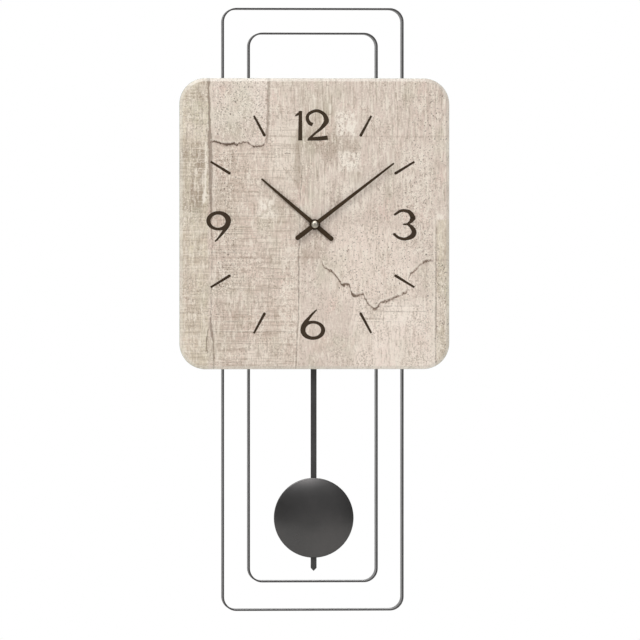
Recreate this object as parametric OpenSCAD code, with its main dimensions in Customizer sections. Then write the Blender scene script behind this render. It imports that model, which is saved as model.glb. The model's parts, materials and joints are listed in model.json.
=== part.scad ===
// Wall clock with a bevelled glass dial, two upright loops of flat metal strip behind it,
// and a quartz movement that turns the hands and swings a light pendulum.
// X runs to the viewer's right, Z up and -Y towards the viewer, and the wall is the plane y = 0.
// The origin is the centre of the keyhole's round hole, on the wall.

/* [Dial glass] */
// Width of the glass
dial_w = 270.5; // [262:0.5:290]
// Height of the glass
dial_h = 291; // [280:0.5:310]
// Corner radius of the glass
dial_r = 26; // [14:0.5:40]
// Thickness of the glass
glass_t = 4; // [3:0.1:5]
// Width of the ground facet along the glass edge
facet_w = 3.2; // [1:0.1:8]
// Depth of the ground facet
facet_d = 1.4; // [0.5:0.1:2.2]
// Height of the glass centre above the hand shaft
dial_lift = 0.8; // [-4:0.1:4]

/* [Loops] */
// Outside width of the outer loop
outer_loop_w = 182; // [172:0.5:190]
// Outside height of the outer loop
outer_loop_h = 604.2; // [585:0.1:620]
// Outside width of the inner loop
inner_loop_w = 130; // [118:0.5:136]
// Outside height of the inner loop
inner_loop_h = 551; // [545:0.1:560]
// Outside corner radius of both loops
loop_r = 14; // [8:0.5:24]
// Thickness of the metal strip
strip_t = 1.6; // [1.2:0.1:3]
// Depth of the metal strip, away from the wall
strip_depth = 24; // [18:0.5:25]
// Distance of the outer loop's centre below the hand shaft
outer_loop_drop = 85.1; // [80:0.1:90]
// Distance of the inner loop's centre below the hand shaft
inner_loop_drop = 83.2; // [80:0.1:86]

/* [Case] */
// Distance from the outer loop to the side of the case
case_side = 14; // [13:0.5:20]
// Height of the case's top above the hand shaft
case_top = 98; // [94:1:106]
// Corner radius of the case
case_r = 12; // [6:0.5:18]
// Thickness of the case's sheet metal
sheet_t = 2; // [1:0.1:2.5]
// Depth of the case from its back to the dial board
case_depth = 38.5; // [37:0.5:44]
// Room beside the movement in the service opening at the back of the case
service_side = 12; // [8:0.5:18]
// Room above and below the movement in the service opening
service_end = 8.5; // [6:0.5:9.5]
// Width of the pendulum's notch in the floor of the case
notch_w = 30; // [26:1:40]
// Thickness of the dial board
board_t = 3; // [2.6:0.1:5]
// Distance from the glass edge to the board edge
board_inset = 22; // [14:0.5:26]
// Thickness of the adhesive tape between board and glass
tape_t = 1; // [0.5:0.1:2]
// Width of the adhesive tape
tape_w = 18; // [10:1:24]
// Thickness of the clamp bars
bar_t = 3; // [2:0.1:3.5]
// Height of the clamp bars
bar_h = 10; // [8:0.5:12]
// Distance from the case's top or foot to the middle of a clamp bar
bar_edge = 12; // [9:0.5:13]
// Gap between the movement's foot and the lower clamp bar
bar_gap = 2; // [1:0.5:5]

/* [Hanger] */
// Distance from the case's top down to the keyhole
hanger_edge = 36; // [34:0.5:40]
// Width of the hanger plate
hanger_w = 56; // [50:1:80]
// Height of the hanger plate
hanger_h = 32; // [30:0.5:34]
// Radius of the keyhole's round hole
keyhole_r = 4.5; // [4:0.1:5]
// Width of the keyhole's slot
keyhole_slot = 4.4; // [3:0.1:5]
// Rise of the keyhole's slot above the round hole's centre
keyhole_rise = 9; // [7:0.5:10]
// Thickness of the wall pads and of the hanger plate
pad_t = 1.5; // [1.5:0.1:3]
// Radius of the wall pads
pad_r = 7; // [5:0.5:9]

/* [Movement] */
// Width of the movement
mv_w = 68; // [68:0.5:74]
// Height of the movement box above the hand shaft
mv_top = 28; // [27.5:0.5:32]
// Height of the movement box below the hand shaft
mv_low = 34; // [34:0.5:36]
// Depth of the movement, front to back
mv_depth = 20.5; // [20.3:0.1:24]
// Wall of the movement's moulded shells
mv_wall = 1.6; // [1.3:0.1:2]
// Width of the pendulum bay under the movement box
bay_w = 40; // [32:1:46]
// Height of the pendulum bay under the movement box
bay_h = 43; // [42.5:0.5:44.5]
// Radius of the round cell
cell_r = 7.25; // [7:0.05:7.25]
// Length of the round cell
cell_len = 50.5; // [49:0.1:50.5]
// Thickness of each gear wheel
wheel_t = 1.2; // [1:0.05:1.3]
// Spacing of the gear layers, front to back
layer_pitch = 1.8; // [1.75:0.05:1.85]
// Radius of the thin steel arbors
arbor_r = 0.6; // [0.5:0.05:0.7]
// Radius of the arbors' end pivots
pivot_r = 0.4; // [0.3:0.05:0.45]
// Radius of the setting arbor
setting_r = 0.8; // [0.7:0.05:0.9]
// Radius of the setting knob
knob_r = 6; // [5:0.5:8]
// Radius of the motor magnet
magnet_r = 3; // [2.5:0.1:3.3]

/* [Hands] */
// Length of the minute hand from the shaft to its tip
minute_len = 100.2; // [90:0.1:115]
// Length of the minute hand's tail
minute_tail = 24.2; // [15:0.1:30]
// Clockwise angle of the minute hand from twelve
minute_angle = 52.3; // [0:0.1:359.9]
// Length of the hour hand from the shaft to its tip
hour_len = 70; // [55:0.1:80]
// Length of the hour hand's tail
hour_tail = 24.1; // [15:0.1:30]
// Clockwise angle of the hour hand from twelve
hour_angle = 310.6; // [0:0.1:359.9]
// Thickness of the hands
hand_t = 0.7; // [0.4:0.1:1]
// Width of the hands at the shaft
hand_w = 4.5; // [3:0.1:5]
// Width of the hands at the tip
tip_w = 1.8; // [1:0.1:2.6]
// Radius of the hour hand's collar
collar_r = 5.35; // [5.1:0.05:7]
// Radius of the domed cap over the hand shaft
cap_r = 4.2; // [3.5:0.05:5]
// Height of the domed cap
cap_h = 2.5; // [2:0.1:4]

/* [Pendulum] */
// Distance of the pendulum's pivot below the hand shaft
pivot_drop = 40; // [39.5:0.5:41]
// Distance from the pivot to the magnet's centre
magnet_arm = 18; // [17:0.5:19]
// Radius of the pendulum magnet
drive_magnet_r = 4.5; // [3:0.1:5]
// Radius of the drive coil
drive_coil_r = 7.5; // [6:0.1:9]
// Distance from the pivot to the hook
hook_arm = 30; // [29:0.5:31]
// Width of the pendulum rod
rod_w = 5.9; // [5:0.1:8]
// Thickness of the pendulum rod
rod_t = 1.2; // [0.8:0.1:2]
// Distance of the rod's point below the hand shaft
rod_end = 347; // [338:0.1:350]
// Height of the rod's pointed end
rod_point = 3.1; // [1:0.1:8]
// Radius of the bob
bob_r = 40; // [34:0.5:42]
// Distance of the bob's centre below the hand shaft
bob_drop = 293.7; // [285:0.1:298]
// Height of the bob's dome
bob_dome = 5; // [3:0.1:9]
// Height of the bob's turned rim
bob_rim = 2.2; // [1:0.1:4]
// Thickness of the bob's pressed metal
bob_t = 0.8; // [0.5:0.05:1.5]

/* [Hidden] */
$fn = 96;

// Colours as the photograph shows them
glass_tone = "#d7cbbe";
graphite = "#4b494a";
hand_brown = "#42382b";
bob_tone = "#464445";
steel_tone = "#b9bcc0";
black_tone = "#26262a";
brass_tone = "#c8a458";

// Fits and gaps
fit = 0.05;        // radial running fit of a shaft in its hole
seat = 0.02;       // radial gap of parts pushed together
air = 0.3;         // gap between parts that must not touch
slot_gap = 0.25;   // play of the strip in the case's slots
cut = 1;           // how far a cutting tool runs past a face

// Distances from the wall, in the order of the stack
d_case = pad_t;
d_loop = d_case + sheet_t;
d_loop_front = d_loop + strip_depth;
d_bar_front = d_loop_front + bar_t;
d_board = d_case + case_depth;
d_tape = d_board + board_t;
d_glass = d_tape + tape_t;
d_face = d_glass + glass_t;
d_mv_back = d_board - mv_depth;
d_mv_in_front = d_board - mv_wall;
d_mv_in_back = d_mv_back + mv_wall;
split_rise = 9;    // inside of the rear shell to the joint between the shells
d_split = d_mv_in_back + split_rise;

// Screws: radius of the thread, the head and the head's height
screw_r = 1.5;
screw_head_r = 2.8;
screw_head_h = 1.4;
screw_play = 0.2;
screw_tip_gap = 0.8;
small_screw_r = 1;
small_head_r = 1.8;
small_head_h = 1;
shell_screw_bite = 5;

// Case and board
case_w = outer_loop_w + 2 * case_side;
upper_bar_z = case_top - bar_edge;
lower_bar_z = -mv_low - bay_h - bar_gap - bar_h / 2;
case_foot = lower_bar_z - bar_edge;
case_h = case_top - case_foot;
case_lift = (case_top + case_foot) / 2;
hub_drop = case_top - hanger_edge;
board_w = dial_w - 2 * board_inset;
board_h = dial_h - 2 * board_inset;
board_r = dial_r - board_inset / 2;
post_r = 4;
post_x = (outer_loop_w / 2 + case_w / 2 - sheet_t) / 2;
post_edge = 39;
post_z = case_h / 2 - post_edge;
pad_x = case_w / 2 - pad_r - 7;
pad_z = case_h / 2 - pad_r - 7;
bar_x = (outer_loop_w + inner_loop_w) / 4;
bar_w = outer_loop_w + 6;
spacer_r = 3.5;
service_r = 6;

// Shaft hole through board and glass
bush_r = 4.6;
hub_hole_r = bush_r + seat + 0.1;
bush_front = d_face - 1.2;

// Hanger
pocket_side = 2.5;
hanger_pocket_w = 2 * (keyhole_r + pocket_side);
hanger_low = 10;
rivet_r = 1.6;
rivet_x = hanger_w / 2 - 6;
rivet_head_r = 2.72;
rivet_head_h = 1.2;

// Tooth counts and modules of the train, from the motor to the hands
leaf = 8;
intermediate_n = 60;
seconds_n = 32;
third_n = 60;
centre_n = 64;
m_rotor = 0.3;
m_seconds = 0.55;
m_third = 0.32;
m_centre = 0.32;
cannon_n = 12;
minute_n = 36;
minute_leaf = 10;
hour_n = 40;
motion_distance = 12;
m_minute = 2 * motion_distance / (cannon_n + minute_n);
m_hour = 2 * motion_distance / (minute_leaf + hour_n);

// Directions of the arbors from one to the next, counter-clockwise from the right
third_dir = 60;
seconds_dir = 150;
intermediate_dir = 190;
rotor_dir = 230;
minute_dir = 240;
function polar(r, a) = [r * cos(a), r * sin(a)];
function pair(m, a, b) = m * (a + b) / 2;
third_at = polar(pair(m_centre, centre_n, leaf), third_dir);
seconds_at = third_at + polar(pair(m_third, third_n, leaf), seconds_dir);
intermediate_at = seconds_at + polar(pair(m_seconds, seconds_n, leaf), intermediate_dir);
rotor_at = intermediate_at + polar(pair(m_rotor, intermediate_n, leaf), rotor_dir);
minute_at = polar(motion_distance, minute_dir);

// Gear layers: distance from the wall to the front of layer k
layer_gap = 0.4;
pinion_over = 0.2;
function layer(k) = d_mv_in_front - layer_gap - k * layer_pitch;
motion_hour = 0;
motion_minute = 1;
layer_centre = 2;
layer_third = 3;
layer_seconds = 4;
layer_motor = 5;
pivot_depth = 0.8;
end_play = 0.2;

// Hand shaft
pipe_r = 2.9;
pipe_bore_r = 2.15;
shaft_r = pipe_bore_r - fit;
shaft_rear_r = 1.2;
shaft_tip_r = 1.75;
hour_gap = 0.7;
collar_h = 2.3;
d_collar = d_face + hour_gap;
d_collar_front = d_collar + collar_h;
d_hour_hand = d_collar + 0.9;
minute_gap = 0.6;
minute_boss_h = 0.8;
minute_boss_r = 4.5;
d_minute_boss = d_collar_front + minute_gap;
d_minute_hand = d_minute_boss + minute_boss_h;
d_minute_front = d_minute_hand + hand_t;
shaft_out = 0.9;

// Cell and its contacts
cell_play = 0.4;
cell_x = mv_w / 2 - mv_wall - cell_play - cell_r;
cell_d = d_mv_in_back + air + cell_r;
cell_low = -29;
cell_nub_r = 2.8;
cell_nub_h = 1.2;
contact_t = 0.4;
contact_w = 8;
strip_gap = 0.15;
plus_rise = 9.4;
minus_rise = 2.9;
plus_d = d_mv_in_back + plus_rise;
minus_d = d_mv_in_back + minus_rise;
rail_w = 2.6;
minus_base = -mv_low + mv_wall + 2 * strip_gap + contact_t;

// Circuit board, motor and coil places, measured from the hand shaft
pcb_x = [-31, -10];
pcb_z = [-30, -13];
pcb_t = 1;
plus_tab = 3;
tab_rise = 2;
pcb_edge_x = 3;
pcb_edge_z = [4, 3];
stator_post_in = 2;
can_edge = [2, 5];
can_len = 8;
chip_edge = [6, 5];
chip_r = 4.4;
chip_rise = 2;
chip_size = [5, 3];
d_pcb = d_mv_in_back + 2.9;
stator_x = [-31.5, -9.5];
stator_half = 4.5;
stator_t = 1;
stator_leg = 2.2;
rotor_gap = 0.5;
magnet_h = 3;
d_magnet = layer(layer_motor) - wheel_t - pinion_over - 0.4;
d_stator = d_magnet - magnet_h / 2 + stator_t / 2;
core_z = -4;
core_w = 3;
coil_r = 3.6;
flange_r = 4.1;
flange_t = 0.8;
coil_gap = 0.2;

// Pendulum places
d_rod_back = d_loop_front + bar_t + 2.9;
lever_t = 2;
lever_w = 6;
d_lever = d_rod_back - lever_t;
pin_r = 1;
lever_hub_r = 2.8;
lever_hub_h = 4.6;
d_hub_back = d_lever - 1.2;
drive_magnet_h = 2;
drive_gap = 0.8;
d_drive_coil = d_lever - drive_magnet_h - drive_gap;
drive_coil_h = 4.2;
hook_r = 1.4;
hook_out = 3;
boss_r = 3;
bob_gap = 0.1;
d_bob = d_rod_back + rod_t + bob_gap;
bracket_w = 12;
bracket_t = 0.8;

// Hub frame: everything about the hand shaft is drawn from it
module at_hub() {
  translate([0, 0, -hub_drop]) children();
}

// Flat shape in the X-Z plane, thickened between two distances from the wall
module slab(d0, d1) {
  translate([0, -d0, 0]) rotate([90, 0, 0]) linear_extrude(d1 - d0) children();
}

// Round bar along the wall's normal, between two distances from the wall
module bar(at, d0, d1, r) {
  translate([at[0], -d0, at[1]]) rotate([90, 0, 0]) cylinder(h = d1 - d0, r = r);
}

// Revolved piece whose axis is the wall's normal, drawn as radius and distance from the wall
module turned(at) {
  translate([at[0], 0, at[1]]) rotate([90, 0, 0]) rotate_extrude() children();
}

// Rectangle with round corners, centred
module rounded(w, h, r) {
  union() {
    square([w - 2 * r, h], center = true);
    square([w, h - 2 * r], center = true);
    for (x = [-1, 1], z = [-1, 1]) {
      translate([x * (w / 2 - r), z * (h / 2 - r)]) circle(r = r);
    }
  }
}

// Rectangle between two corners
module box2(x0, z0, x1, z1) {
  translate([x0, z0]) square([x1 - x0, z1 - z0]);
}

// Involute tooth form: half of the tooth's angle at radius r
function inv(a) = tan(a) * 180 / PI - a;
pressure = 20;
function half_tooth(m, n, thin, r) =
  90 * thin / n + inv(pressure) - inv(acos(min(1, m * n / 2 * cos(pressure) / r)));

// Outline of a gear with n teeth: root, four points up each flank, and the tip between them
flank_steps = 3;
function gear_points(m, n, thin, add, ded) =
  let (rp = m * n / 2, rf = rp - ded * m, ra = rp + add * m,
       rs = max(rf + 0.02, rp * cos(pressure)))
  [for (k = [0 : n - 1])
     each [polar(rf, k * 360 / n - half_tooth(m, n, thin, rs)),
           each [for (j = [0 : flank_steps]) let (r = rs + (ra - rs) * j / flank_steps)
             polar(r, k * 360 / n - half_tooth(m, n, thin, r))],
           each [for (j = [flank_steps : -1 : 0]) let (r = rs + (ra - rs) * j / flank_steps)
             polar(r, k * 360 / n + half_tooth(m, n, thin, r))],
           polar(rf, k * 360 / n + half_tooth(m, n, thin, rs))]];

// Tooth proportions of wheels and of the small pinions, in modules
wheel_add = 0.8;
wheel_ded = 1.25;
pinion_add = 0.95;
pinion_ded = 1.15;
tooth_thin = 0.82;

// Phase of a gear with b teeth that meshes with one of a teeth standing at phase p,
// where the line from the first to the second lies at direction dir
function mesh_phase(p, a, b, dir) = dir * (1 + a / b) + 180 + 180 / b - p * a / b;

module wheel_shape(m, n, phase) {
  rotate(phase) polygon(gear_points(m, n, tooth_thin, wheel_add, wheel_ded));
}
module pinion_shape(m, n, phase) {
  rotate(phase) polygon(gear_points(m, n, tooth_thin, pinion_add, pinion_ded));
}

// Wheel in a gear layer, with round windows between rim and hub
module train_wheel(m, n, phase, k, windows) {
  rim = m * n / 2 - wheel_ded * m;
  slab(layer(k) - wheel_t, layer(k)) difference() {
    wheel_shape(m, n, phase);
    if (windows) {
      for (a = [0 : 60 : 300]) {
        translate(polar(rim * 0.62, a)) circle(r = rim * 0.2, $fn = 32);
      }
    }
  }
}

// Pinion that reaches a little past both faces of the wheel it drives
module train_pinion(m, n, phase, k) {
  slab(layer(k) - wheel_t - pinion_over, layer(k) + pinion_over) pinion_shape(m, n, phase);
}

// Arbor with a pivot at each end, from one shell to the other
module arbor(at) {
  bar(at, d_mv_in_back + end_play, d_mv_in_front - end_play, arbor_r);
  bar(at, d_mv_in_back - pivot_depth, d_mv_in_front + pivot_depth, pivot_r);
}

// Holes that hold the arbors' pivots in one shell
module pivot_holes(d0, d1) {
  for (at = [third_at, seconds_at, intermediate_at, rotor_at]) {
    bar(at, d0, d1, pivot_r + fit);
  }
}

// Screw along the wall's normal: the head at d0, the tip at d1
module screw(at, d0, d1, r, head_r, head_h) {
  toward = d1 > d0 ? 1 : -1;
  slot_w = head_r * 0.35;
  bar(at, min(d0, d1), max(d0, d1), r);
  difference() {
    bar(at, min(d0, d0 - toward * head_h), max(d0, d0 - toward * head_h), head_r);
    translate([at[0], -(d0 - toward * head_h), at[1]])
      cube([2 * head_r + cut, head_h, slot_w], center = true);
  }
}

module dial_glass() {
  color(glass_tone) at_hub() translate([0, 0, dial_lift]) difference() {
    union() {
      slab(d_glass, d_face - facet_d) rounded(dial_w, dial_h, dial_r);
      hull() {
        slab(d_face - facet_d - 0.01, d_face - facet_d) rounded(dial_w, dial_h, dial_r);
        slab(d_face - 0.01, d_face)
          rounded(dial_w - 2 * facet_w, dial_h - 2 * facet_w, dial_r - facet_w);
      }
    }
    bar([0, -dial_lift], d_glass - cut, d_face + cut, hub_hole_r);
  }
}

module glass_tape() {
  run_x = board_w / 2 - tape_w;
  color("white") at_hub() translate([0, 0, dial_lift]) slab(d_tape, d_glass) {
    for (side = [-1, 1]) {
      translate([side * (run_x + tape_w / 2 - 3), 0])
        square([tape_w, board_h - 2 * board_r], center = true);
      translate([0, side * (board_h / 2 - tape_w / 2 - 3)])
        square([board_w - 4 * tape_w, tape_w], center = true);
    }
  }
}

module dial_board() {
  color(black_tone) at_hub() difference() {
    translate([0, 0, dial_lift]) slab(d_board, d_tape) rounded(board_w, board_h, board_r);
    bar([0, 0], d_board - cut, d_tape + cut, hub_hole_r);
    for (at = board_posts()) bar(at, d_board - cut, d_tape - 0.6, screw_r + seat);
    for (at = movement_ears()) bar(at, d_board - cut, d_tape - 0.6, screw_r + seat);
  }
}

// Places of the corner posts that carry the dial board
function board_posts() =
  [for (x = [-1, 1], z = [-1, 1]) [x * post_x, case_lift + z * post_z]];

module back_case() {
  color(graphite) at_hub() difference() {
    union() {
      translate([0, 0, case_lift]) {
        slab(d_case, d_loop) rounded(case_w, case_h, case_r);
        slab(d_case, d_board) difference() {
          rounded(case_w, case_h, case_r);
          rounded(case_w - 2 * sheet_t, case_h - 2 * sheet_t, case_r - sheet_t);
        }
      }
      for (at = board_posts()) bar(at, d_case, d_board, post_r);
    }
    for (at = board_posts()) bar(at, d_case - cut, d_board + cut, screw_r + screw_play);
    slab(d_case - cut, d_loop + cut) translate([0, (mv_top - mv_low - bay_h) / 2])
      rounded(mv_w + 2 * service_side, mv_top + mv_low + bay_h + 2 * service_end, service_r);
    translate([0, 0, hub_drop]) slab(d_case - cut, d_loop + cut) hanger_pocket();
    loop_slots(outer_loop_w);
    loop_slots(inner_loop_w);
    slab(d_rod_back - air - 1, d_board + cut)
      box2(-notch_w / 2, case_foot - cut, notch_w / 2, case_foot + sheet_t + cut);
    for (side = [-1, 1], z = [upper_bar_z, lower_bar_z]) {
      bar([side * bar_x, z], d_case - cut, d_loop + cut, screw_r + screw_play);
    }
    for (side = [-1, 1]) {
      bar([side * rivet_x, hub_drop], d_case - cut, d_loop + cut, rivet_r + seat);
    }
  }
}

// Slots in the roof and floor of the case, open towards the dial board
module loop_slots(loop_w) {
  slot_w = strip_t + 2 * slot_gap;
  for (side = [-1, 1], end = [-1, 1]) {
    slab(d_loop, d_board + cut)
      translate([side * (loop_w - strip_t) / 2, case_lift + end * (case_h - sheet_t) / 2])
        square([slot_w, sheet_t + 2 * cut], center = true);
  }
}

// Hole in the case behind the keyhole, for the head of the wall screw
module hanger_pocket() {
  box2(-hanger_pocket_w / 2, -keyhole_r - 2, hanger_pocket_w / 2, keyhole_rise + keyhole_r);
}

// Closed ring of flat strip standing on edge
module loop(w, h, drop) {
  translate([0, 0, -drop]) slab(d_loop, d_loop_front) difference() {
    rounded(w, h, loop_r);
    rounded(w - 2 * strip_t, h - 2 * strip_t, loop_r - strip_t);
  }
}
module outer_loop() {
  color(graphite) at_hub() loop(outer_loop_w, outer_loop_h, outer_loop_drop);
}
module inner_loop() {
  color(graphite) at_hub() loop(inner_loop_w, inner_loop_h, inner_loop_drop);
}

// Bar that presses the front edges of both loops towards the case
module clamp_bar(z) {
  difference() {
    slab(d_loop_front, d_bar_front) translate([0, z]) rounded(bar_w, bar_h, 2);
    for (side = [-1, 1]) {
      bar([side * bar_x, z], d_loop_front - cut, d_bar_front + cut, screw_r + seat);
    }
  }
}
module upper_clamp_bar() {
  color(graphite) at_hub() clamp_bar(upper_bar_z);
}
module lower_clamp_bar() {
  color(graphite) at_hub() clamp_bar(lower_bar_z);
}

module clamp_spacers() {
  color(steel_tone) at_hub() for (side = [-1, 1], z = [upper_bar_z, lower_bar_z]) {
    difference() {
      bar([side * bar_x, z], d_loop, d_loop_front, spacer_r);
      bar([side * bar_x, z], d_loop - cut, d_loop_front + cut, screw_r + screw_play);
    }
  }
}

module clamp_screws() {
  color(steel_tone) at_hub() for (side = [-1, 1], z = [upper_bar_z, lower_bar_z]) {
    screw([side * bar_x, z], d_case, d_bar_front, screw_r, screw_head_r, screw_head_h);
  }
}

module hanger_plate() {
  color(steel_tone) slab(0, pad_t) difference() {
    translate([-hanger_w / 2, -hanger_low]) square([hanger_w, hanger_h]);
    circle(r = keyhole_r);
    box2(-keyhole_slot / 2, 0, keyhole_slot / 2, keyhole_rise);
    translate([0, keyhole_rise]) circle(r = keyhole_slot / 2);
    for (side = [-1, 1]) translate([side * rivet_x, 0]) circle(r = rivet_r + seat);
  }
}

module hanger_rivets() {
  color(steel_tone) for (side = [-1, 1]) {
    bar([side * rivet_x, 0], 0, d_loop, rivet_r);
    bar([side * rivet_x, 0], d_loop, d_loop + rivet_head_h, rivet_head_r);
  }
}

module wall_pads() {
  color(black_tone) at_hub() for (x = [-1, 1], z = [-1, 1]) {
    bar([x * pad_x, case_lift + z * pad_z], 0, d_case, pad_r);
  }
}

module board_screws() {
  color(steel_tone) at_hub() for (at = board_posts()) {
    screw(at, d_case, d_tape - screw_tip_gap, screw_r, screw_head_r, screw_head_h);
  }
}

// Places of the movement's four ears
ear_out = 4.5;
ear_t = 2;
ear_r = 3.6;
ear_in = 8;
function movement_ears() =
  [for (x = [-1, 1], z = [mv_top - ear_in, -mv_low + ear_in]) [x * (mv_w / 2 + ear_out), z]];

// Places of the screws that join the two shells
shell_post_r = 2;
post_in = mv_wall + shell_post_r;
left_post = [1.8, 1.2];     // further in than the walls ask for, x and z
right_post = [1.6, 0.3];    // right of the cell's middle, and below the wall
floor_post = [11.5, 1.9];   // between the train and the cell
bay_post = 0.9;
shell_screws_at =
  [[-mv_w / 2 + post_in + left_post[0], mv_top - post_in - left_post[1]],
   [cell_x + right_post[0], mv_top - post_in - right_post[1]],
   [floor_post[0], -mv_low + post_in + floor_post[1]],
   [-bay_w / 2 + post_in + bay_post, -mv_low - bay_h + post_in],
   [bay_w / 2 - post_in - bay_post, -mv_low - bay_h + post_in]];

// Outline of the movement box with the pendulum bay under it
module movement_outline(grow) {
  union() {
    box2(-mv_w / 2 - grow, -mv_low - grow, mv_w / 2 + grow, mv_top + grow);
    box2(-bay_w / 2 - grow, -mv_low - bay_h - grow, bay_w / 2 + grow, -mv_low + cut);
  }
}
// Rooms inside the shells: the box, and the bay that stays open at its foot
module movement_rooms() {
  box2(-mv_w / 2 + mv_wall, -mv_low + mv_wall, mv_w / 2 - mv_wall, mv_top - mv_wall);
  box2(-bay_w / 2 + mv_wall, -mv_low - bay_h - cut, bay_w / 2 - mv_wall, -mv_low);
}

module movement_front_shell() {
  pin_at = [0, -pivot_drop];
  color(black_tone) at_hub() difference() {
    union() {
      slab(d_mv_in_front, d_board) movement_outline(0);
      slab(d_split, d_board) difference() {
        movement_outline(0);
        movement_rooms();
      }
      for (at = movement_ears()) {
        bar(at, d_board - ear_t, d_board, ear_r);
        slab(d_board - ear_t, d_board) translate([sign(at[0]) * (mv_w / 2 + ear_out / 2), at[1]])
          square([ear_out, 2 * ear_r], center = true);
      }
      bar([0, 0], d_board, bush_front, bush_r);
      bar(pin_at, d_hub_back + lever_hub_h + air, d_board, boss_r);
      for (at = shell_screws_at) bar(at, d_split, d_board - mv_wall / 2, shell_post_r);
      for (share = saddle_shares) cell_saddle(cell_low + share * cell_len);
    }
    bar([0, 0], d_split, bush_front + cut, pipe_r + fit);
    bar(minute_at, d_split, d_mv_in_front + pivot_depth + end_play, pivot_r + fit);
    bar(pin_at, d_split, d_mv_in_front + pivot_depth, pin_r + seat);
    pivot_holes(d_split, d_mv_in_front + pivot_depth + end_play);
    for (at = movement_ears()) bar(at, d_split, d_board + cut, screw_r + screw_play);
    for (at = shell_screws_at) bar(at, d_split - cut, d_mv_in_front - 2, small_screw_r + seat);
  }
}

// Saddle that carries the cell from the front shell, and where two of them stand along it
saddle_shares = [0.24, 0.71];
saddle_reach = 0.6;
module cell_saddle(z) {
  saddle_t = 2;
  reach = cell_r * saddle_reach;
  translate([cell_x, 0, z]) difference() {
    translate([-cell_r + 1, -d_mv_in_front - mv_wall / 2, 0])
      cube([2 * cell_r - 2, d_mv_in_front - cell_d - reach + mv_wall / 2, saddle_t]);
    translate([0, -cell_d, -cut]) cylinder(h = saddle_t + 2 * cut, r = cell_r + air / 2);
  }
}

// Rib beside the cell: its two faces' distances from the cell's side, and the posts' radii
rib_far = 1.2;
rib_near = 0.4;
pcb_post_r = 1.6;
stator_post_r = 1.4;
module movement_rear_shell() {
  pin_at = [0, -pivot_drop];
  window_x = cell_r + air;
  color(black_tone) at_hub() difference() {
    union() {
      slab(d_mv_back, d_mv_in_back) movement_outline(0);
      slab(d_mv_back, d_split) difference() {
        movement_outline(0);
        movement_rooms();
      }
      slab(d_mv_back, d_split)
        box2(cell_x - cell_r - rib_far, -mv_low, cell_x - cell_r - rib_near, mv_top);
      bar(pin_at, d_mv_back, d_hub_back - air, boss_r);
      for (at = shell_screws_at) bar(at, d_mv_back, d_split, shell_post_r);
      for (at = pcb_posts()) bar(at, d_mv_back, d_pcb, pcb_post_r);
      for (at = stator_posts()) bar(at, d_mv_back, d_stator - stator_t, stator_post_r);
    }
    slab(d_mv_back - cut, d_mv_in_back + cut)
      box2(cell_x - window_x, cell_low, cell_x + window_x, cell_low + cell_len);
    slab(minus_d - air, d_split + cut)
      box2(cell_x - cell_r - rib_far - cut, -mv_low + mv_wall, cell_x - cell_r, minus_base + 1);
    bar([0, 0], d_mv_in_back - pivot_depth - end_play, d_split, shaft_rear_r + fit);
    bar(minute_at, d_mv_back - cut, d_split, setting_r + fit);
    bar(pin_at, d_mv_in_back - pivot_depth, d_split, pin_r + seat);
    pivot_holes(d_mv_in_back - pivot_depth - end_play, d_split);
    for (at = shell_screws_at) bar(at, d_mv_back - cut, d_split + cut, small_screw_r + screw_play);
  }
}

module movement_screws() {
  color(steel_tone) at_hub() for (at = movement_ears()) {
    screw(at, d_board - ear_t, d_tape - screw_tip_gap, screw_r, screw_head_r, screw_head_h);
  }
}

module shell_screws() {
  color(steel_tone) at_hub() for (at = shell_screws_at) {
    screw(at, d_mv_back, d_split + shell_screw_bite, small_screw_r, small_head_r, small_head_h);
  }
}

module battery_cell() {
  color("#3a5f86") at_hub() translate([cell_x, -cell_d, cell_low]) {
    cylinder(h = cell_len - cell_nub_h, r = cell_r);
    cylinder(h = cell_len, r = cell_nub_r);
  }
}

// Bent strip of the positive contact: over the cell, down the side wall and along the floor
module positive_contact() {
  tab_x = pcb_x[1] - plus_tab;
  top = cell_low + cell_len + strip_gap;
  side = mv_w / 2 - mv_wall - strip_gap;
  floor_z = -mv_low + mv_wall + strip_gap;
  color(steel_tone) at_hub() {
    slab(cell_d - contact_w / 2, cell_d + contact_w / 2)
      box2(cell_x - contact_w / 2, top, side, top + contact_t);
    slab(plus_d, plus_d + rail_w) {
      box2(side - contact_t, floor_z, side, top + contact_t);
      box2(tab_x, floor_z, side, floor_z + contact_t);
      box2(tab_x, floor_z, tab_x + contact_t, pcb_z[0] + tab_rise);
    }
    slab(d_pcb + pcb_t, plus_d + rail_w)
      box2(tab_x, pcb_z[0] + tab_rise / 2, tab_x + contact_t, pcb_z[0] + tab_rise);
  }
}

// Negative contact: a spring leaf under the cell and a strip along the floor
module negative_contact() {
  base = minus_base;
  color(steel_tone) at_hub() {
    slab(minus_d, cell_d + contact_w / 2) {
      box2(cell_x - contact_w / 2, base, cell_x + contact_w / 2, base + contact_t);
      polygon([[cell_x - contact_w / 2, base], [cell_x - contact_w / 2 + contact_t, base],
               [cell_x + contact_t, cell_low - strip_gap], [cell_x, cell_low - strip_gap]]);
      polygon([[cell_x + contact_w / 2 - contact_t, base], [cell_x + contact_w / 2, base],
               [cell_x + contact_t, cell_low - strip_gap], [cell_x, cell_low - strip_gap]]);
    }
    slab(minus_d, minus_d + rail_w)
      box2(pcb_x[1] - 1, base, cell_x + contact_w / 2, base + contact_t);
    slab(d_pcb + pcb_t, minus_d + rail_w)
      box2(pcb_x[1] - 1, base, pcb_x[1] - 1 + contact_t, pcb_z[0] + tab_rise);
  }
}

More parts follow.
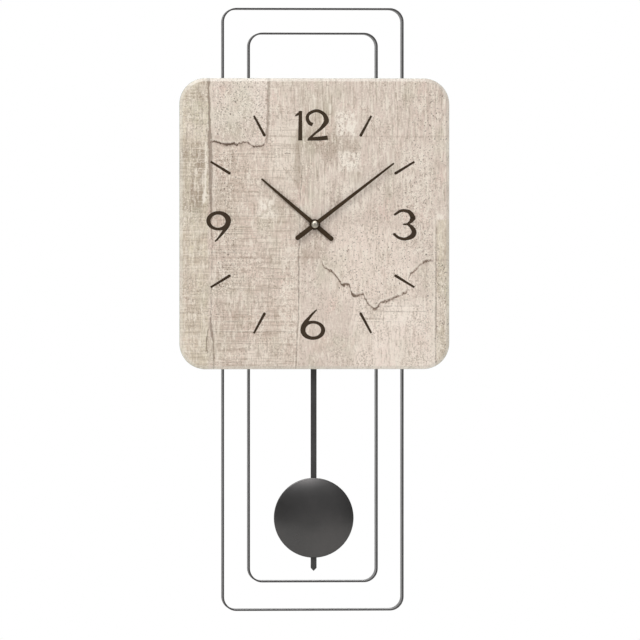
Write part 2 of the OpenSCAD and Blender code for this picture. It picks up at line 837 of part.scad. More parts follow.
function pcb_posts() = [[pcb_x[0] + pcb_edge_x, pcb_z[1] - pcb_edge_z[1]],
                        [pcb_x[1] - pcb_edge_x, pcb_z[0] + pcb_edge_z[0]]];
function stator_posts() = [[stator_x[0] + stator_post_in, rotor_at[1]],
                           [stator_x[1] - stator_post_in, rotor_at[1]]];

module circuit_board() {
  color("#2f6b45") at_hub() slab(d_pcb, d_pcb + pcb_t)
    box2(pcb_x[0], pcb_z[0], pcb_x[1], pcb_z[1]);
}

module quartz_crystal() {
  can_r = 1.5;
  color(steel_tone) at_hub()
    translate([pcb_x[0] + can_edge[0], -(d_pcb + pcb_t + can_r), pcb_z[0] + can_edge[1]])
      rotate([0, 90, 0])
        cylinder(h = can_len, r = can_r, $fn = 32);
}

module control_chip() {
  color(black_tone) at_hub() turned([pcb_x[1] - chip_edge[0], pcb_z[1] - chip_edge[1]])
    intersection() {
      translate([0, d_pcb + pcb_t + chip_rise - chip_r]) circle(r = chip_r);
      translate([0, d_pcb + pcb_t]) square(chip_size);
    }
}

module motor_stator() {
  color(steel_tone) at_hub() slab(d_stator - stator_t, d_stator) difference() {
    union() {
      box2(stator_x[0], rotor_at[1] - stator_half, stator_x[1], rotor_at[1] + stator_half);
      for (x = [stator_x[0], stator_x[1] - stator_leg]) {
        box2(x, core_z - core_w / 2, x + stator_leg, rotor_at[1]);
      }
      box2(stator_x[0], core_z - core_w / 2, stator_x[1], core_z + core_w / 2);
    }
    translate(rotor_at) circle(r = magnet_r + rotor_gap);
  }
}

// Winding on its bobbin, with a square way through for the stator's core
module motor_coil() {
  x0 = stator_x[0] + stator_leg + coil_gap;
  len = stator_x[1] - stator_x[0] - 2 * (stator_leg + coil_gap);
  color("#b5622f") at_hub() difference() {
    translate([x0, -(d_stator - stator_t / 2), core_z]) rotate([0, 90, 0]) {
      cylinder(h = len, r = coil_r);
      cylinder(h = flange_t, r = flange_r);
      translate([0, 0, len - flange_t]) cylinder(h = flange_t, r = flange_r);
    }
    translate([x0 - cut, -d_stator - seat, core_z - core_w / 2 - seat])
      cube([len + 2 * cut, stator_t + 2 * seat, core_w + 2 * seat]);
  }
}

module motor_rotor() {
  color("#8c8f94") at_hub() {
    arbor(rotor_at);
    translate([rotor_at[0], 0, rotor_at[1]]) train_pinion(m_rotor, leaf, 0, layer_motor);
    bar(rotor_at, d_magnet - magnet_h, d_magnet, magnet_r);
  }
}

// Each wheel's phase follows from the pinion that drives it, which stands at phase 0
module intermediate_wheel() {
  color("ivory") at_hub() {
    arbor(intermediate_at);
    translate([intermediate_at[0], 0, intermediate_at[1]]) {
      train_wheel(m_rotor, intermediate_n,
                  mesh_phase(0, leaf, intermediate_n, rotor_dir + 180), layer_motor, true);
      train_pinion(m_seconds, leaf, 0, layer_seconds);
    }
  }
}

module seconds_wheel() {
  color("ivory") at_hub() {
    arbor(seconds_at);
    translate([seconds_at[0], 0, seconds_at[1]]) {
      train_wheel(m_seconds, seconds_n,
                  mesh_phase(0, leaf, seconds_n, intermediate_dir + 180), layer_seconds, false);
      train_pinion(m_third, leaf, 0, layer_third);
    }
  }
}

module third_wheel() {
  color("ivory") at_hub() {
    arbor(third_at);
    translate([third_at[0], 0, third_at[1]]) {
      train_wheel(m_third, third_n,
                  mesh_phase(0, leaf, third_n, seconds_dir + 180), layer_third, true);
      train_pinion(m_centre, leaf, 0, layer_centre);
    }
  }
}

// The centre wheel turns the minute shaft through a slipping fit, so the hands can be set
module centre_wheel() {
  color("ivory") at_hub() difference() {
    train_wheel(m_centre, centre_n, mesh_phase(0, leaf, centre_n, third_dir + 180),
                layer_centre, true);
    bar([0, 0], d_mv_in_back, d_mv_in_front, shaft_rear_r + fit);
  }
}

// Dished washer that presses the centre wheel against the minute shaft's step
module clutch_washer() {
  washer_r = 2.3;
  d_back = layer(layer_centre) + fit;
  color(brass_tone) at_hub() difference() {
    bar([0, 0], d_back, layer(motion_minute) - wheel_t - pinion_over, washer_r);
    bar([0, 0], d_mv_in_back, d_mv_in_front, shaft_rear_r + seat);
  }
}

module minute_shaft() {
  d_cannon = layer(motion_minute) + pinion_over;
  color(steel_tone) at_hub() {
    bar([0, 0], d_mv_in_back - pivot_depth, d_cannon - cut / 2, shaft_rear_r);
    train_pinion(m_minute, cannon_n, 0, motion_minute);
    bar([0, 0], d_cannon - cut / 2, d_collar_front + air, shaft_r);
    bar([0, 0], d_collar_front, d_minute_front + shaft_out, shaft_tip_r);
  }
}

module minute_wheel() {
  color("ivory") at_hub() {
    translate([minute_at[0], 0, minute_at[1]]) {
      train_wheel(m_minute, minute_n, mesh_phase(0, cannon_n, minute_n, minute_dir),
                  motion_minute, true);
      slab(layer(motion_minute) - wheel_t, layer(motion_hour) + pinion_over)
        pinion_shape(m_hour, minute_leaf, 0);
    }
    bar(minute_at, d_knob(), d_mv_in_front - end_play, setting_r);
    bar(minute_at, layer(motion_hour), d_mv_in_front + pivot_depth, pivot_r);
  }
}

module hour_wheel() {
  color("ivory") at_hub() difference() {
    union() {
      train_wheel(m_hour, hour_n, mesh_phase(0, minute_leaf, hour_n, minute_dir + 180),
                  motion_hour, true);
      bar([0, 0], layer(motion_hour) - wheel_t, d_collar_front, pipe_r);
    }
    bar([0, 0], d_mv_in_back, d_collar_front + cut, pipe_bore_r);
  }
}

// Setting knob with finger grooves, pushed on the setting arbor behind the movement
knob_h = 6;
knob_gap = 0.5;
knob_bore = 4;
grooves = 18;
groove_r = 0.7;
groove_out = 0.3;
knob_rim = 1.2;
function d_knob() = d_mv_back - knob_gap - knob_bore;
module setting_knob() {
  d_front = d_mv_back - knob_gap;
  color(black_tone) at_hub() difference() {
    bar(minute_at, d_front - knob_h, d_front, knob_r);
    for (k = [0 : grooves - 1]) {
      bar(minute_at + polar(knob_r + groove_out, k * 360 / grooves), d_front - knob_h - cut,
          d_front - knob_rim, groove_r);
    }
    bar(minute_at, d_front - knob_bore, d_front + cut, setting_r + seat);
  }
}

// Flat tapering hand along its own length, from the tail's round end to the tip
tail_flare = 0.1;
module hand_shape(len, tail) {
  tail_r = hand_w / 2 + tail_flare;
  union() {
    polygon([[-hand_w / 2, 0], [hand_w / 2, 0], [tip_w / 2, len - tip_w / 4],
             [tip_w / 4, len], [-tip_w / 4, len], [-tip_w / 2, len - tip_w / 4]]);
    translate([0, -(tail - tail_r)]) circle(r = tail_r, $fn = 48);
    box2(-tail_r, -(tail - tail_r), tail_r, 0);
  }
}

module hour_hand() {
  color(hand_brown) at_hub() difference() {
    union() {
      slab(d_hour_hand, d_hour_hand + hand_t) rotate(-hour_angle)
        hand_shape(hour_len, hour_tail);
      bar([0, 0], d_collar, d_collar_front, collar_r);
    }
    bar([0, 0], d_collar - cut, d_collar_front + cut, pipe_r + seat);
  }
}

module minute_hand() {
  color(hand_brown) at_hub() difference() {
    union() {
      slab(d_minute_hand, d_minute_front) rotate(-minute_angle)
        hand_shape(minute_len, minute_tail);
      bar([0, 0], d_minute_boss, d_minute_front, minute_boss_r);
    }
    bar([0, 0], d_minute_boss - cut, d_minute_front + cut, shaft_tip_r + seat);
  }
}

// Domed cap over the shaft's end: a slice of a ball on a short skirt
module hand_cap() {
  skirt = 0.9;
  rise = cap_h - skirt;
  ball_r = (cap_r * cap_r + rise * rise) / (2 * rise);
  color("#c9c8c6") at_hub() difference() {
    turned([0, 0]) {
      translate([0, d_minute_front]) square([cap_r, skirt]);
      intersection() {
        translate([0, d_minute_front + cap_h - ball_r]) circle(r = ball_r);
        translate([0, d_minute_front + skirt]) square([cap_r, rise + cut]);
      }
    }
    bar([0, 0], d_minute_front - cut, d_minute_front + shaft_out + air / 2, shaft_tip_r + seat);
  }
}

module pendulum_drive_coil() {
  core_r = 2.6;
  winding_r = drive_coil_r - 0.8;
  d_back = d_drive_coil - drive_coil_h;
  color("#b5622f") at_hub() {
    bar([0, -pivot_drop - magnet_arm], d_mv_in_back, d_drive_coil, core_r);
    bar([0, -pivot_drop - magnet_arm], d_back, d_drive_coil, winding_r);
    for (d = [d_back, d_drive_coil - flange_t]) {
      bar([0, -pivot_drop - magnet_arm], d, d + flange_t, drive_coil_r);
    }
  }
}

module pendulum_pivot_pin() {
  color(steel_tone) at_hub()
    bar([0, -pivot_drop], d_mv_in_back - pivot_depth, d_mv_in_front + pivot_depth, pin_r);
}

// Moulded lever: a hub on the pin, an arm with the magnet's seat, and the hook for the rod
module pendulum_lever() {
  color("ivory") at_hub() translate([0, 0, -pivot_drop]) difference() {
    union() {
      slab(d_lever, d_rod_back) {
        box2(-lever_w / 2, -hook_arm, lever_w / 2, 0);
        circle(r = lever_hub_r + 1);
        translate([0, -magnet_arm]) circle(r = drive_magnet_r + 1);
        translate([0, -hook_arm]) circle(r = lever_w / 2);
      }
      bar([0, 0], d_hub_back, d_hub_back + lever_hub_h, lever_hub_r);
      bar([0, -hook_arm], d_lever, d_rod_back + hook_out, hook_r);
    }
    bar([0, 0], d_hub_back - cut, d_hub_back + lever_hub_h + cut, pin_r + fit);
  }
}

module pendulum_magnet() {
  color("#8c8f94") at_hub()
    bar([0, -pivot_drop - magnet_arm], d_lever - drive_magnet_h, d_lever, drive_magnet_r);
}

// Flat rod with a round head, a hole for the hook and a pointed foot
module pendulum_rod() {
  top = -pivot_drop - hook_arm;
  shoulder = -rod_end + rod_point;
  color(graphite) at_hub() slab(d_rod_back, d_rod_back + rod_t) difference() {
    union() {
      translate([0, top]) circle(r = rod_w / 2);
      box2(-rod_w / 2, shoulder, rod_w / 2, top);
      polygon([[-rod_w / 2, shoulder], [0, -rod_end], [rod_w / 2, shoulder]]);
    }
    translate([0, top]) circle(r = hook_r + 2 * fit);
  }
}

// Pressed bob: a shallow dome with a turned rim, open at the back
module pendulum_bob() {
  rise = bob_dome;
  ball_r = (bob_r * bob_r + rise * rise) / (2 * rise);
  d_ball = d_bob + bob_rim + rise - ball_r;
  color(bob_tone) at_hub() turned([0, -bob_drop]) difference() {
    union() {
      translate([0, d_bob]) square([bob_r, bob_rim]);
      intersection() {
        translate([0, d_ball]) circle(r = ball_r, $fn = 360);
        translate([0, d_bob + bob_rim]) square([bob_r, rise + cut]);
      }
    }
    translate([0, d_bob - cut]) square([bob_r - bob_t, bob_rim - bob_t + cut]);
    intersection() {
      translate([0, d_ball]) circle(r = ball_r - bob_t, $fn = 360);
      translate([0, d_bob + bob_rim - bob_t]) square([bob_r - bob_t, rise + cut]);
    }
  }
}

// Strip across the open back of the bob, with two tongues that grip the rod
module bob_bracket() {
  grip = 0.1;
  half = bob_r - bob_t - grip;
  lip = 1.4;
  lip_gap = 0.05;
  color(steel_tone) at_hub() translate([0, 0, -bob_drop]) {
    slab(d_bob, d_bob + bracket_t) intersection() {
      circle(r = half);
      square([2 * half, bracket_w], center = true);
    }
    for (side = [-1, 1]) {
      slab(d_rod_back - bracket_t, d_bob + bracket_t) translate([side * (rod_w / 2 + grip), 0])
        box2(side < 0 ? -bracket_t : 0, -bracket_w / 2, side < 0 ? 0 : bracket_t, bracket_w / 2);
      slab(d_rod_back - bracket_t - lip_gap, d_rod_back - lip_gap)
        translate([side * (rod_w / 2 + grip), 0])
          box2(side < 0 ? -bracket_t : -lip, -bracket_w / 2,
               side < 0 ? lip : bracket_t, bracket_w / 2);
    }
  }
}

dial_glass();
glass_tape();
dial_board();
back_case();
outer_loop();
inner_loop();
upper_clamp_bar();
lower_clamp_bar();
clamp_spacers();
clamp_screws();
hanger_plate();
hanger_rivets();
wall_pads();
board_screws();
movement_front_shell();
movement_rear_shell();
movement_screws();
shell_screws();
battery_cell();
positive_contact();
negative_contact();
circuit_board();
quartz_crystal();
control_chip();
motor_stator();
motor_coil();
motor_rotor();
intermediate_wheel();
seconds_wheel();
third_wheel();
centre_wheel();
clutch_washer();
minute_shaft();
minute_wheel();
hour_wheel();
setting_knob();
hour_hand();
minute_hand();
hand_cap();
pendulum_drive_coil();
pendulum_pivot_pin();
pendulum_lever();
pendulum_magnet();
pendulum_rod();
pendulum_bob();
bob_bracket();
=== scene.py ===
"""Looks of a pendulum wall clock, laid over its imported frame.

Shapes are worked out in millimetres as (x, d, z): x to the right of the hand shaft, d out from the wall
towards the viewer, z up from the hand shaft. `in_frame` turns them into the row frame's metres. Every
shape is a grid of points from one formula, and every finish is named for what the real surface is.
"""

import json
import logging
import math
from collections.abc import Callable
from dataclasses import dataclass, field
from enum import Enum
from functools import partial

import bmesh
import bpy
import numpy as np
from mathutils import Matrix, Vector

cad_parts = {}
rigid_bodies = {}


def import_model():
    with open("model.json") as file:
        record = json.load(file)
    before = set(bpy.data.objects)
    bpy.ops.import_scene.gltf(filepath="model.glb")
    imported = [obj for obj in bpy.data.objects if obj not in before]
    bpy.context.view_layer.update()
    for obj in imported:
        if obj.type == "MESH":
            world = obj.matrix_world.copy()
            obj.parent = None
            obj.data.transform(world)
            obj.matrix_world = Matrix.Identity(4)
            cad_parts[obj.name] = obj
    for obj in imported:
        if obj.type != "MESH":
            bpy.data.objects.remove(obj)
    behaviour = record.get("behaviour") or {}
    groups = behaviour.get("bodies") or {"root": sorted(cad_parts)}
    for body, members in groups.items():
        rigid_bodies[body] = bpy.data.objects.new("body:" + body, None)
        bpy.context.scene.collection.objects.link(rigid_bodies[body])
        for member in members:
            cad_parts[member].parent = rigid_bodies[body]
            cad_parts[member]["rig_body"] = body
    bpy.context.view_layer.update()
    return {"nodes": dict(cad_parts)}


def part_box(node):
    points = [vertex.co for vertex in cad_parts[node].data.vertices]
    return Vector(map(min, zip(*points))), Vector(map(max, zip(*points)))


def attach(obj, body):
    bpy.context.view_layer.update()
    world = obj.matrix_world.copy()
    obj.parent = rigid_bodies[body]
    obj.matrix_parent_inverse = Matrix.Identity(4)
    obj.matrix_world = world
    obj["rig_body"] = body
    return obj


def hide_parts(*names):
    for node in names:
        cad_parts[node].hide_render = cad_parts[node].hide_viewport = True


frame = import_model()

log = logging.getLogger("pendulum_clock")

MM = 0.001
SHAFT = (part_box("minute_shaft")[0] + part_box("minute_shaft")[1]) / 2
Points = np.ndarray
Node = bpy.types.Node
Input = float | tuple[float, ...] | Node | bpy.types.NodeSocket | None
AddNode = Callable[..., Node]
SMOOTH = {"interpolation_type": "SMOOTHSTEP"}


@dataclass(frozen=True)
class Span:
    """The box of one CAD node in millimetres, from the hand shaft sideways and up, and out from the wall."""

    left: float
    right: float
    back: float
    front: float
    low: float
    high: float

    @classmethod
    def of(cls, node: str) -> "Span":
        """The box of the node with that name."""
        low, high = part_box(node)
        return cls((low.x - SHAFT.x) / MM, (high.x - SHAFT.x) / MM, -high.y / MM, -low.y / MM,
                   (low.z - SHAFT.z) / MM, (high.z - SHAFT.z) / MM)

    @property
    def centre(self) -> tuple[float, float]:
        """Middle of the box as x and z."""
        return (self.left + self.right) / 2, (self.low + self.high) / 2

    def outline(self, radius: float, steps: int) -> tuple[Points, Points]:
        """The box's outline with round corners, about its own middle, and its normals."""
        return rounded_outline(self.right - self.left, self.high - self.low, radius, steps)


def in_frame(points: Points) -> Points:
    """Turn (x, d, z) in mm into the row frame's metres: x and z from its origin, and y into the wall."""
    return np.stack([points[..., 0] * MM + SHAFT.x, -points[..., 1] * MM, points[..., 2] * MM + SHAFT.z], -1)


def at_depth(flat: Points, depth: Points | tuple[float, ...]) -> Points:
    """Points (x, d, z) from points (x, z) in the wall's plane and their d."""
    return np.stack([flat[..., 0], np.broadcast_to(depth, flat.shape[:-1]), flat[..., 1]], -1)


def full_turn(steps: int) -> Points:
    """A column of angles once round in equal steps."""
    return np.linspace(0, 2 * np.pi, steps, endpoint=False)[:, None]


def shade(mesh: bpy.types.Mesh, sharp: float) -> None:
    """Smooth all faces, and keep edges sharp from that angle in degrees."""
    mesh.polygons.foreach_set("use_smooth", np.ones(len(mesh.polygons), bool))
    mesh.set_sharp_from_angle(angle=math.radians(sharp))


def in_scene(name: str, data: bpy.types.ID) -> bpy.types.Object:
    """Make an object and link it to the scene.

    Args:
        name: Name of the object.
        data: Its mesh, camera or lamp.

    Returns:
        The new object.
    """
    made = bpy.data.objects.new(name, data)
    bpy.context.scene.collection.objects.link(made)
    return made


def linear(colour: str) -> tuple[float, float, float, float]:
    """Turn #rrggbb in sRGB into linear RGBA: c / 12.92 up to 0.04045, else ((c + 0.055) / 1.055) ^ 2.4."""
    channels = [int(colour[i:i + 2], 16) / 255 for i in (1, 3, 5)]
    return (*(c / 12.92 if c <= 0.04045 else ((c + 0.055) / 1.055) ** 2.4 for c in channels), 1.0)


def add_node(tree: bpy.types.NodeTree, kind: str, *inputs: Input, named: dict[str, Input] | None = None,
             **settings: object) -> Node:
    """Add one node with its settings, values and links.

    Args:
        tree: Node tree that takes the node.
        kind: The node's Blender type without its first word, ShaderNode.
        inputs: What goes into the sockets in use, in order: a value, a node or a socket. None skips one.
        named: The same by socket name.
        settings: Options of the node, set before its sockets are counted.

    Returns:
        The new node. Where it goes into another, its first output in use is linked.
    """
    node = tree.nodes.new("ShaderNode" + kind)
    for name, value in settings.items():
        setattr(node, name, value)
    used = [socket for socket in node.inputs if socket.enabled]
    pairs = list(zip(used, inputs)) + [(node.inputs[name], value) for name, value in (named or {}).items()]
    for socket, value in pairs:
        if isinstance(value, Node):
            tree.links.new(next(out for out in value.outputs if out.enabled), socket)
        elif isinstance(value, bpy.types.NodeSocket):
            tree.links.new(value, socket)
        elif value is not None:
            socket.default_value = value
    return node


def new_material(name: str) -> tuple[bpy.types.Material, AddNode]:
    """Make an empty node material.

    Args:
        name: Name of the finish.

    Returns:
        The material, and add_node for its cleared tree.
    """
    material = bpy.data.materials.new(name)
    material.use_nodes = True
    material.node_tree.nodes.clear()
    return material, partial(add_node, material.node_tree)


def millimetres(add: AddNode) -> Node:
    """Place on the piece: Object coordinates in mm from the hand shaft, with y into the wall."""
    place = add("TexCoord").outputs["Object"]
    return add("Mapping", place, tuple(-SHAFT / MM), None, (1 / MM,) * 3)


class Grain(Enum):
    """How a finish's fine relief lies: the stretch of its noise along x, into the wall, and up."""

    EVEN = (1.0, 1.0, 1.0)
    ALONG_X = (14.0, 1.0, 1.0)
    ALONG_Z = (1.0, 1.0, 14.0)


class Winding(Enum):
    """Which way a coil's wire layers step: across x, or out from the wall."""

    STEPS_X = 0
    STEPS_OUT = 1


@dataclass(frozen=True)
class Finish:
    """One surface finish, a principled surface with its own mottling and relief.

    Attributes:
        name: The real material and how its surface was made.
        slot: Material slot of the record.
        colour: Main sRGB colour.
        shade: Second sRGB colour, where the surface is a little worn, thin or dusty.
        blotch: Size of the colour's patches in mm.
        grit: Size of the relief in mm.
        relief: Height of the relief in mm.
        rough: Lowest and highest roughness.
        metallic: 1 on bare metal, less where a lacquer carries metal flake.
        ior: Index of refraction, left alone on metal.
        gleam: Specular level, 0 where the surface is bonded to the glass over it.
        coat: Weight of a clear coat.
        coat_rough: Roughness of the clear coat.
        grain: How the relief is stretched.
        winding: Wire layers instead of grit.
        turned: How much turning lines round the shaft's axis stretch the gloss.
    """

    name: str
    slot: str
    colour: str
    shade: str
    blotch: float = 12.0
    grit: float = 0.5
    relief: float = 0.01
    rough: tuple[float, float] = (0.4, 0.5)
    metallic: float = 0.0
    ior: float | None = 1.5
    gleam: float = 0.5
    coat: float = 0.0
    coat_rough: float = 0.1
    grain: Grain = Grain.EVEN
    winding: Winding | None = None
    turned: float = 0.0

    # Noise values between which the tone and the roughness change.
    TONE_CUT = (0.35, 0.7)
    ROUGH_CUT = (0.3, 0.7)

    def material(self) -> bpy.types.Material:
        """Build the finish once.

        Returns:
            The material: colour = colour + (shade - colour) * patches, and height = relief * noise at the
            grit's size.
        """
        made = bpy.data.materials.get(self.name)
        if made:
            return made
        material, add = new_material(self.name)
        place = millimetres(add)
        patches = add("TexNoise", place, 1 / self.blotch, 4.0, 0.6)
        share = add("MapRange", patches, *self.TONE_CUT, **SMOOTH)
        tone = add("Mix", share, linear(self.colour), linear(self.shade), data_type="RGBA")
        rough = add("MapRange", patches, *self.ROUGH_CUT, *self.rough)
        height = self.wires(add, place) if self.winding else self.grains(add, place)
        bump = add("Bump", 1.0, self.relief * MM, named={"Height": height})
        named = {"Base Color": tone, "Roughness": rough, "Normal": bump, "Metallic": self.metallic,
                 "Specular IOR Level": self.gleam, "Coat Weight": self.coat,
                 "Coat Roughness": self.coat_rough}
        if self.ior is not None:
            named["IOR"] = self.ior
        if self.turned:
            named["Anisotropic"] = self.turned
            named["Tangent"] = add("Tangent", direction_type="RADIAL", axis="Y")
        surface = add("BsdfPrincipled", named=named)
        add("OutputMaterial", surface)
        return material

    def grains(self, add: AddNode, place: Node) -> Node:
        """Height of the relief: noise at the grit's size, stretched as the grain says.

        Args:
            add: Adds a node to the tree.
            place: Place in mm.

        Returns:
            Node with the height from 0 to 1.
        """
        stretch = tuple(1 / (self.grit * s) for s in self.grain.value)
        scaled = add("Mapping", place, None, None, stretch)
        return add("TexNoise", scaled, 1.0, 2.0, 0.5)

    def wires(self, add: AddNode, place: Node) -> Node:
        """Height of wire layers: half a sine for each turn, one grit apart.

        Args:
            add: Adds a node to the tree.
            place: Place in mm.

        Returns:
            Node with the height from 0 to 1.
        """
        axis = add("SeparateXYZ", place).outputs[self.winding.value]
        turns = add("Math", axis, math.pi / self.grit, operation="MULTIPLY")
        wave = add("Math", turns, operation="SINE")
        return add("Math", wave, operation="ABSOLUTE")


@dataclass(frozen=True)
class Patch:
    """A soft-edged field of the print in mm from the shaft, with a ragged border."""

    left: float
    right: float
    low: float
    high: float
    soft: float = 8.0

    def mask(self, add: AddNode, wavy: Node) -> Node:
        """How far a point is inside the field.

        Args:
            add: Adds a node to the tree.
            wavy: Place in mm with the border's waver in it.

        Returns:
            Node with 1 inside and 0 outside: the larger of |x - middle| - half width and |z - middle| - half
            height, taken from +soft to -soft.
        """
        middle = ((self.left + self.right) / 2, 0.0, (self.low + self.high) / 2)
        half = ((self.right - self.left) / 2, 1e3, (self.high - self.low) / 2)
        offset = add("VectorMath", wavy, middle, operation="SUBTRACT")
        size = add("VectorMath", offset, operation="ABSOLUTE")
        beyond = add("VectorMath", size, half, operation="SUBTRACT")
        axes = add("SeparateXYZ", beyond)
        worst = add("Math", axes.outputs[0], axes.outputs[2], operation="MAXIMUM")
        return add("MapRange", worst, self.soft, -self.soft, **SMOOTH)


@dataclass(frozen=True)
class Wash:
    """One tone that lies over the boards wherever a stretched noise is strong.

    Attributes:
        colour: sRGB colour of the tone.
        amount: Most that it covers.
        grain: Size of the noise across and up, in mm.
        cut: Noise values where the tone begins and where it is full.
        detail: Finer octaves in the noise.
        patches: Fields that hold it, or none for the whole print.
        clump: Size in mm of the clumps that it gathers in, or 0.
    """

    colour: str
    amount: float
    grain: tuple[float, float]
    cut: tuple[float, float]
    detail: float = 2.0
    patches: tuple[Patch, ...] = ()
    clump: float = 0.0


@dataclass(frozen=True)
class Seam:
    """A joint between boards or a crack in the limewash, a wandering line that is dark with a pale lip.

    Attributes:
        course: Stations as (along, across, half width) in mm. Where the last is below 0, the line is gone.
        upright: Whether it runs up, so that along is z and across is x, or the other way about.
        ragged: How far the line strays, in mm.
        waves: Length of its strays, in mm.
        dark: sRGB colour of the line.
        strength: Most that the dark covers.
        lip: Offset of the pale lip in mm.
        glow: Most that the pale lip covers.
        soft: How far the line's edge fades, in mm.
        stain: Most that a brown stain beside the line covers.
    """

    course: tuple[tuple[float, float, float], ...]
    upright: bool
    ragged: float = 1.0
    waves: float = 6.0
    dark: str = "#7b6a5b"
    strength: float = 0.7
    lip: float = 1.6
    glow: float = 0.35
    soft: float = 0.35
    stain: float = 0.0


# Fields of the print: left, right, low and high edge in mm from the hand shaft, and their softness.
LEFT_BOARD = Patch(-140, -106.5, -150, 150, 2)
LEFT_SHADE = Patch(-140, -108, 10, 78, 6)
LEFT_CHALK = Patch(-140, -112, 86, 100, 4)
UPPER_LEFT = Patch(-103, -47, 83, 150, 4)
NINE_FIELD = Patch(-103, -76, -72, 76, 8)
MIDDLE_LEFT = Patch(-103, -18, -10, 78, 6)
LOWER_LEFT = Patch(-103, -17, -150, 0, 6)
CHALKED_EDGE = Patch(-34, -18, -122, -22, 5)
TWELVE_LEFT = Patch(-46, -16, 26, 150, 5)
TWELVE_BAND = Patch(-15, 12, 76, 150, 5)
STREAKED = Patch(-14, 44, 4, 150, 6)
CHALK_HIGH = Patch(21, 42, 86, 114, 4)
TWELVE_SHADE = Patch(6, 22, 58, 122, 5)
CHALK_SHOULDER = Patch(28, 52, 14, 42, 5)
THREE_SHADE = Patch(66, 106, -22, 0, 8)
FOOT_SHADE = Patch(-95, -72, -122, -78, 6)
FOOT_CHALK = Patch(-70, -30, -142, -122, 5)
CRACK_CHALK = Patch(66, 113, -102, -78, 5)
BROWN_FIELD = Patch(-16, 44, 70, 88, 4)
BROWN_STREAKS = Patch(-17, -4, 26, 74, 5)
CHALK_LOW = Patch(25, 45, 54, 72, 3)
CHALK_NOTCH = Patch(-56, -40, 8, 26, 4)
CHALK_CHIP = Patch(122, 131, 4, 12, 2)
# Below the shaft: partly the print's own brown, partly a painted shadow of the hub and hands.
HUB_SHADOW_FIELD = Patch(-14, 26, -40, 2, 6)
CRACK_SHADE = Patch(-108, -72, 80, 100, 5)
PEELED = Patch(-44, -16, 46, 98, 5)
UPPER_RIGHT = Patch(44, 140, 14, 150, 8)
SPECKLED = Patch(86, 122, -36, 78, 10)
RIGHT_EDGE = Patch(96, 140, 60, 150, 10)
MIDDLE = Patch(16, 100, -76, -4, 10)
UNDER_CRACK = Patch(40, 121, -150, -78, 6)
RIGHT_BOARD = Patch(122.5, 140, -150, 4, 2)
SAWN_RIGHT = Patch(46, 118, -100, -72, 5)
RIGHT_PORES = Patch(110, 140, -150, -36, 5)

BOARDS = (LEFT_BOARD, RIGHT_BOARD)
SAWN = (LEFT_SHADE, MIDDLE_LEFT, LOWER_LEFT, TWELVE_LEFT, SAWN_RIGHT)
STREAKS = (STREAKED, UPPER_RIGHT, TWELVE_BAND)
ROUGH = (UPPER_LEFT, NINE_FIELD, SPECKLED, RIGHT_PORES)
PALE = (MIDDLE, UNDER_CRACK)
